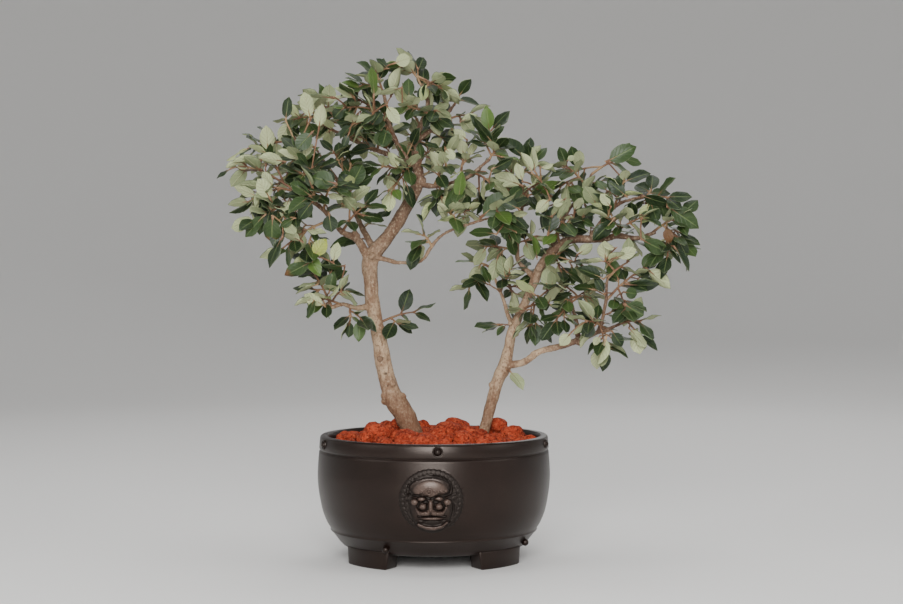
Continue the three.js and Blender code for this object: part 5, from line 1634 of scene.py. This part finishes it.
def leaf_top_skin():
    """The blade's upper side: dark, olive and satin, with a paler rib and edge."""
    skin = Skin("leaf_top", 0.42, 0.28)
    across, along, tint, age = leaf_parts(skin)
    rib, side = vein_lines(skin, across, along)
    base = skin.ramp(tint, [
        (0.0, (0.006, 0.014, 0.005)), (0.35, (0.01, 0.023, 0.0065)), (0.7, (0.02, 0.041, 0.01)),
        (0.9, (0.038, 0.07, 0.016)), (0.95, (0.075, 0.135, 0.02)), (1.0, (0.27, 0.3, 0.045)),
    ])
    cloud = skin.noise(0.16, 3)
    base = skin.layer(base, cloud, [(0.4, 0.0), (0.8, 0.45)], (0.045, 0.064, 0.024))
    base = skin.mix(skin.math("MULTIPLY", side, 0.16), base, (0.08, 0.12, 0.04))
    base = skin.mix(skin.math("MULTIPLY", rib, 0.45), base, (0.15, 0.2, 0.07))
    base = skin.layer(base, across, [(0.93, 0.0), (1.0, 0.45)], (0.14, 0.17, 0.08))
    reach = skin.math("ADD", skin.math("MULTIPLY", along, 4), skin.math("MULTIPLY", age, 3))
    brown = skin.ramp(skin.math("DIVIDE", skin.math("ADD", reach, cloud), 12), [(0.535, 0.0), (0.59, 0.85)])
    base = skin.mix(brown, base, (0.115, 0.047, 0.016))
    skin.color(base)
    skin.bump(skin.math("ADD", side, skin.math("MULTIPLY", rib, 1.6)), 0.22, 0.5)
    return skin.material


def leaf_under_skin():
    """The blade's felted, pale under side with its raised veins."""
    skin = Skin("leaf_under", 0.65, 0.25)
    across, along, tint, _ = leaf_parts(skin)
    rib, side = vein_lines(skin, across, along)
    base = skin.ramp(tint, [
        (0.0, (0.2, 0.235, 0.12)), (0.5, (0.31, 0.345, 0.185)), (0.85, (0.39, 0.415, 0.235)),
        (1.0, (0.35, 0.42, 0.15)),
    ])
    base = skin.mix(skin.math("MULTIPLY", side, 0.3), base, (0.23, 0.27, 0.135))
    base = skin.mix(skin.math("MULTIPLY", rib, 0.6), base, (0.44, 0.45, 0.25))
    skin.color(base)
    skin.bump(skin.math("ADD", side, skin.math("MULTIPLY", rib, 2)), 0.35, 0.8)
    return skin.material


def plastic_skin():
    """Black moulded plastic with a fine grain and a little soil on it."""
    skin = Skin("screen_plastic", 0.55)
    grain = skin.noise(1.2, 3)
    skin.color(skin.ramp(grain, [(0.45, (0.01, 0.011, 0.011)), (0.75, (0.035, 0.026, 0.018))]))
    skin.set("Roughness", skin.ramp(grain, [(0.3, 0.48), (0.7, 0.72)]))
    skin.bump(grain, 0.08)
    return skin.material


# Building the plant in its pot

leaf_skins = [leaf_top_skin(), leaf_under_skin(), twig_skin(), bud_skin()]
make_pot(clay_skin())
make_soil(earth_skin())
make_stones(lava_skin("red_lava", (0.2, 0.022, 0.009), (0.4, 0.048, 0.016), (0.52, 0.12, 0.05)))
make_grit(lava_skin("lava_dust", (0.06, 0.012, 0.007), (0.16, 0.026, 0.012), (0.26, 0.07, 0.035)))
bark = bark_skin()
for tree in TREES:
    make_wood(tree, bark)
make_sprays(leaf_skins)
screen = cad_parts["drain_screen"].data
screen.materials.clear()
screen.materials.append(plastic_skin())


# Stage, lights and camera


FLOOR = {"flat": 1.9, "bend": 1.7, "steps": 13, "top": 3.4, "turns": 96}
# The lights, in metres and watts, which all look at one spot of the crown
AIM = (0, 0, 0.22)
LIGHTS = [
    {"name": "front_key", "spot": (-0.08, -1.75, 0.7), "size": 0.85, "power": 44},
    {"name": "left_fill", "spot": (-1.7, -0.9, 1.1), "size": 1.2, "power": 9},
    {"name": "right_fill", "spot": (1.7, -0.7, 1.0), "size": 1.2, "power": 8},
    {"name": "back_fill", "spot": (0.5, 1.8, 1.2), "size": 1.2, "power": 7},
    {"name": "top_soft", "spot": (0, 0.3, 1.9), "size": 1.4, "power": 16},
]
ROOM_LIGHT = {"color": (0.9, 0.93, 1, 1), "strength": 0.16}


def make_floor():
    """A pale round floor that sweeps up all about the object."""
    bm = bmesh.new()
    flat, bend = FLOOR["flat"], FLOOR["bend"]
    turns = np.linspace(0, math.pi / 2, FLOOR["steps"])
    sweep = [(flat + bend * math.sin(a), bend - bend * math.cos(a)) for a in turns]
    spun(bm, [(0, 0), *sweep, (flat + bend, FLOOR["top"])], FLOOR["turns"], closed=False)
    outward = [f for f in bm.faces if f.normal.z < -0.5 or f.normal.dot(f.calc_center_median()) > 0.5]
    bmesh.ops.reverse_faces(bm, faces=outward)
    for face in bm.faces:
        face.smooth = True
    mesh = bpy.data.meshes.new("floor_sheet")
    bm.to_mesh(mesh)
    bm.free()
    sheet = bpy.data.objects.new("floor_sheet", mesh)
    bpy.context.scene.collection.objects.link(sheet)
    paper = bpy.data.materials.new("pale_paper")
    paper.use_nodes = True
    shader = paper.node_tree.nodes["Principled BSDF"]
    shader.inputs["Base Color"].default_value = (0.8, 0.79, 0.77, 1)
    shader.inputs["Roughness"].default_value = 0.8
    mesh.materials.append(paper)


def soft_light(name, spot, size, power):
    data = bpy.data.lights.new(name, "AREA")
    data.shape, data.size, data.energy = "SQUARE", size, power
    light = bpy.data.objects.new(name, data)
    bpy.context.scene.collection.objects.link(light)
    light.location = spot
    light.visible_camera = False
    light.rotation_euler = (Vector(AIM) - Vector(spot)).to_track_quat("-Z", "Y").to_euler()


make_floor()
for light in LIGHTS:
    soft_light(**light)
world = bpy.data.worlds.new("soft_room")
world.use_nodes = True
glow = world.node_tree.nodes["Background"].inputs
glow["Color"].default_value = ROOM_LIGHT["color"]
glow["Strength"].default_value = ROOM_LIGHT["strength"]
bpy.context.scene.world = world

lens = bpy.data.cameras.new("photo_view")
lens.lens, lens.sensor_width = CAMERA["lens"], CAMERA["sensor"]
camera = bpy.data.objects.new("photo_view", lens)
camera.location = TO_PLACE @ Vector(CAMERA["spot"])
turn = Matrix.Rotation(math.radians(-CAMERA["yaw"]), 4, "Z")
camera.rotation_euler = (turn @ Matrix.Rotation(math.radians(90 - CAMERA["pitch"]), 4, "X")).to_euler()
bpy.context.scene.collection.objects.link(camera)
bpy.context.scene.camera = camera
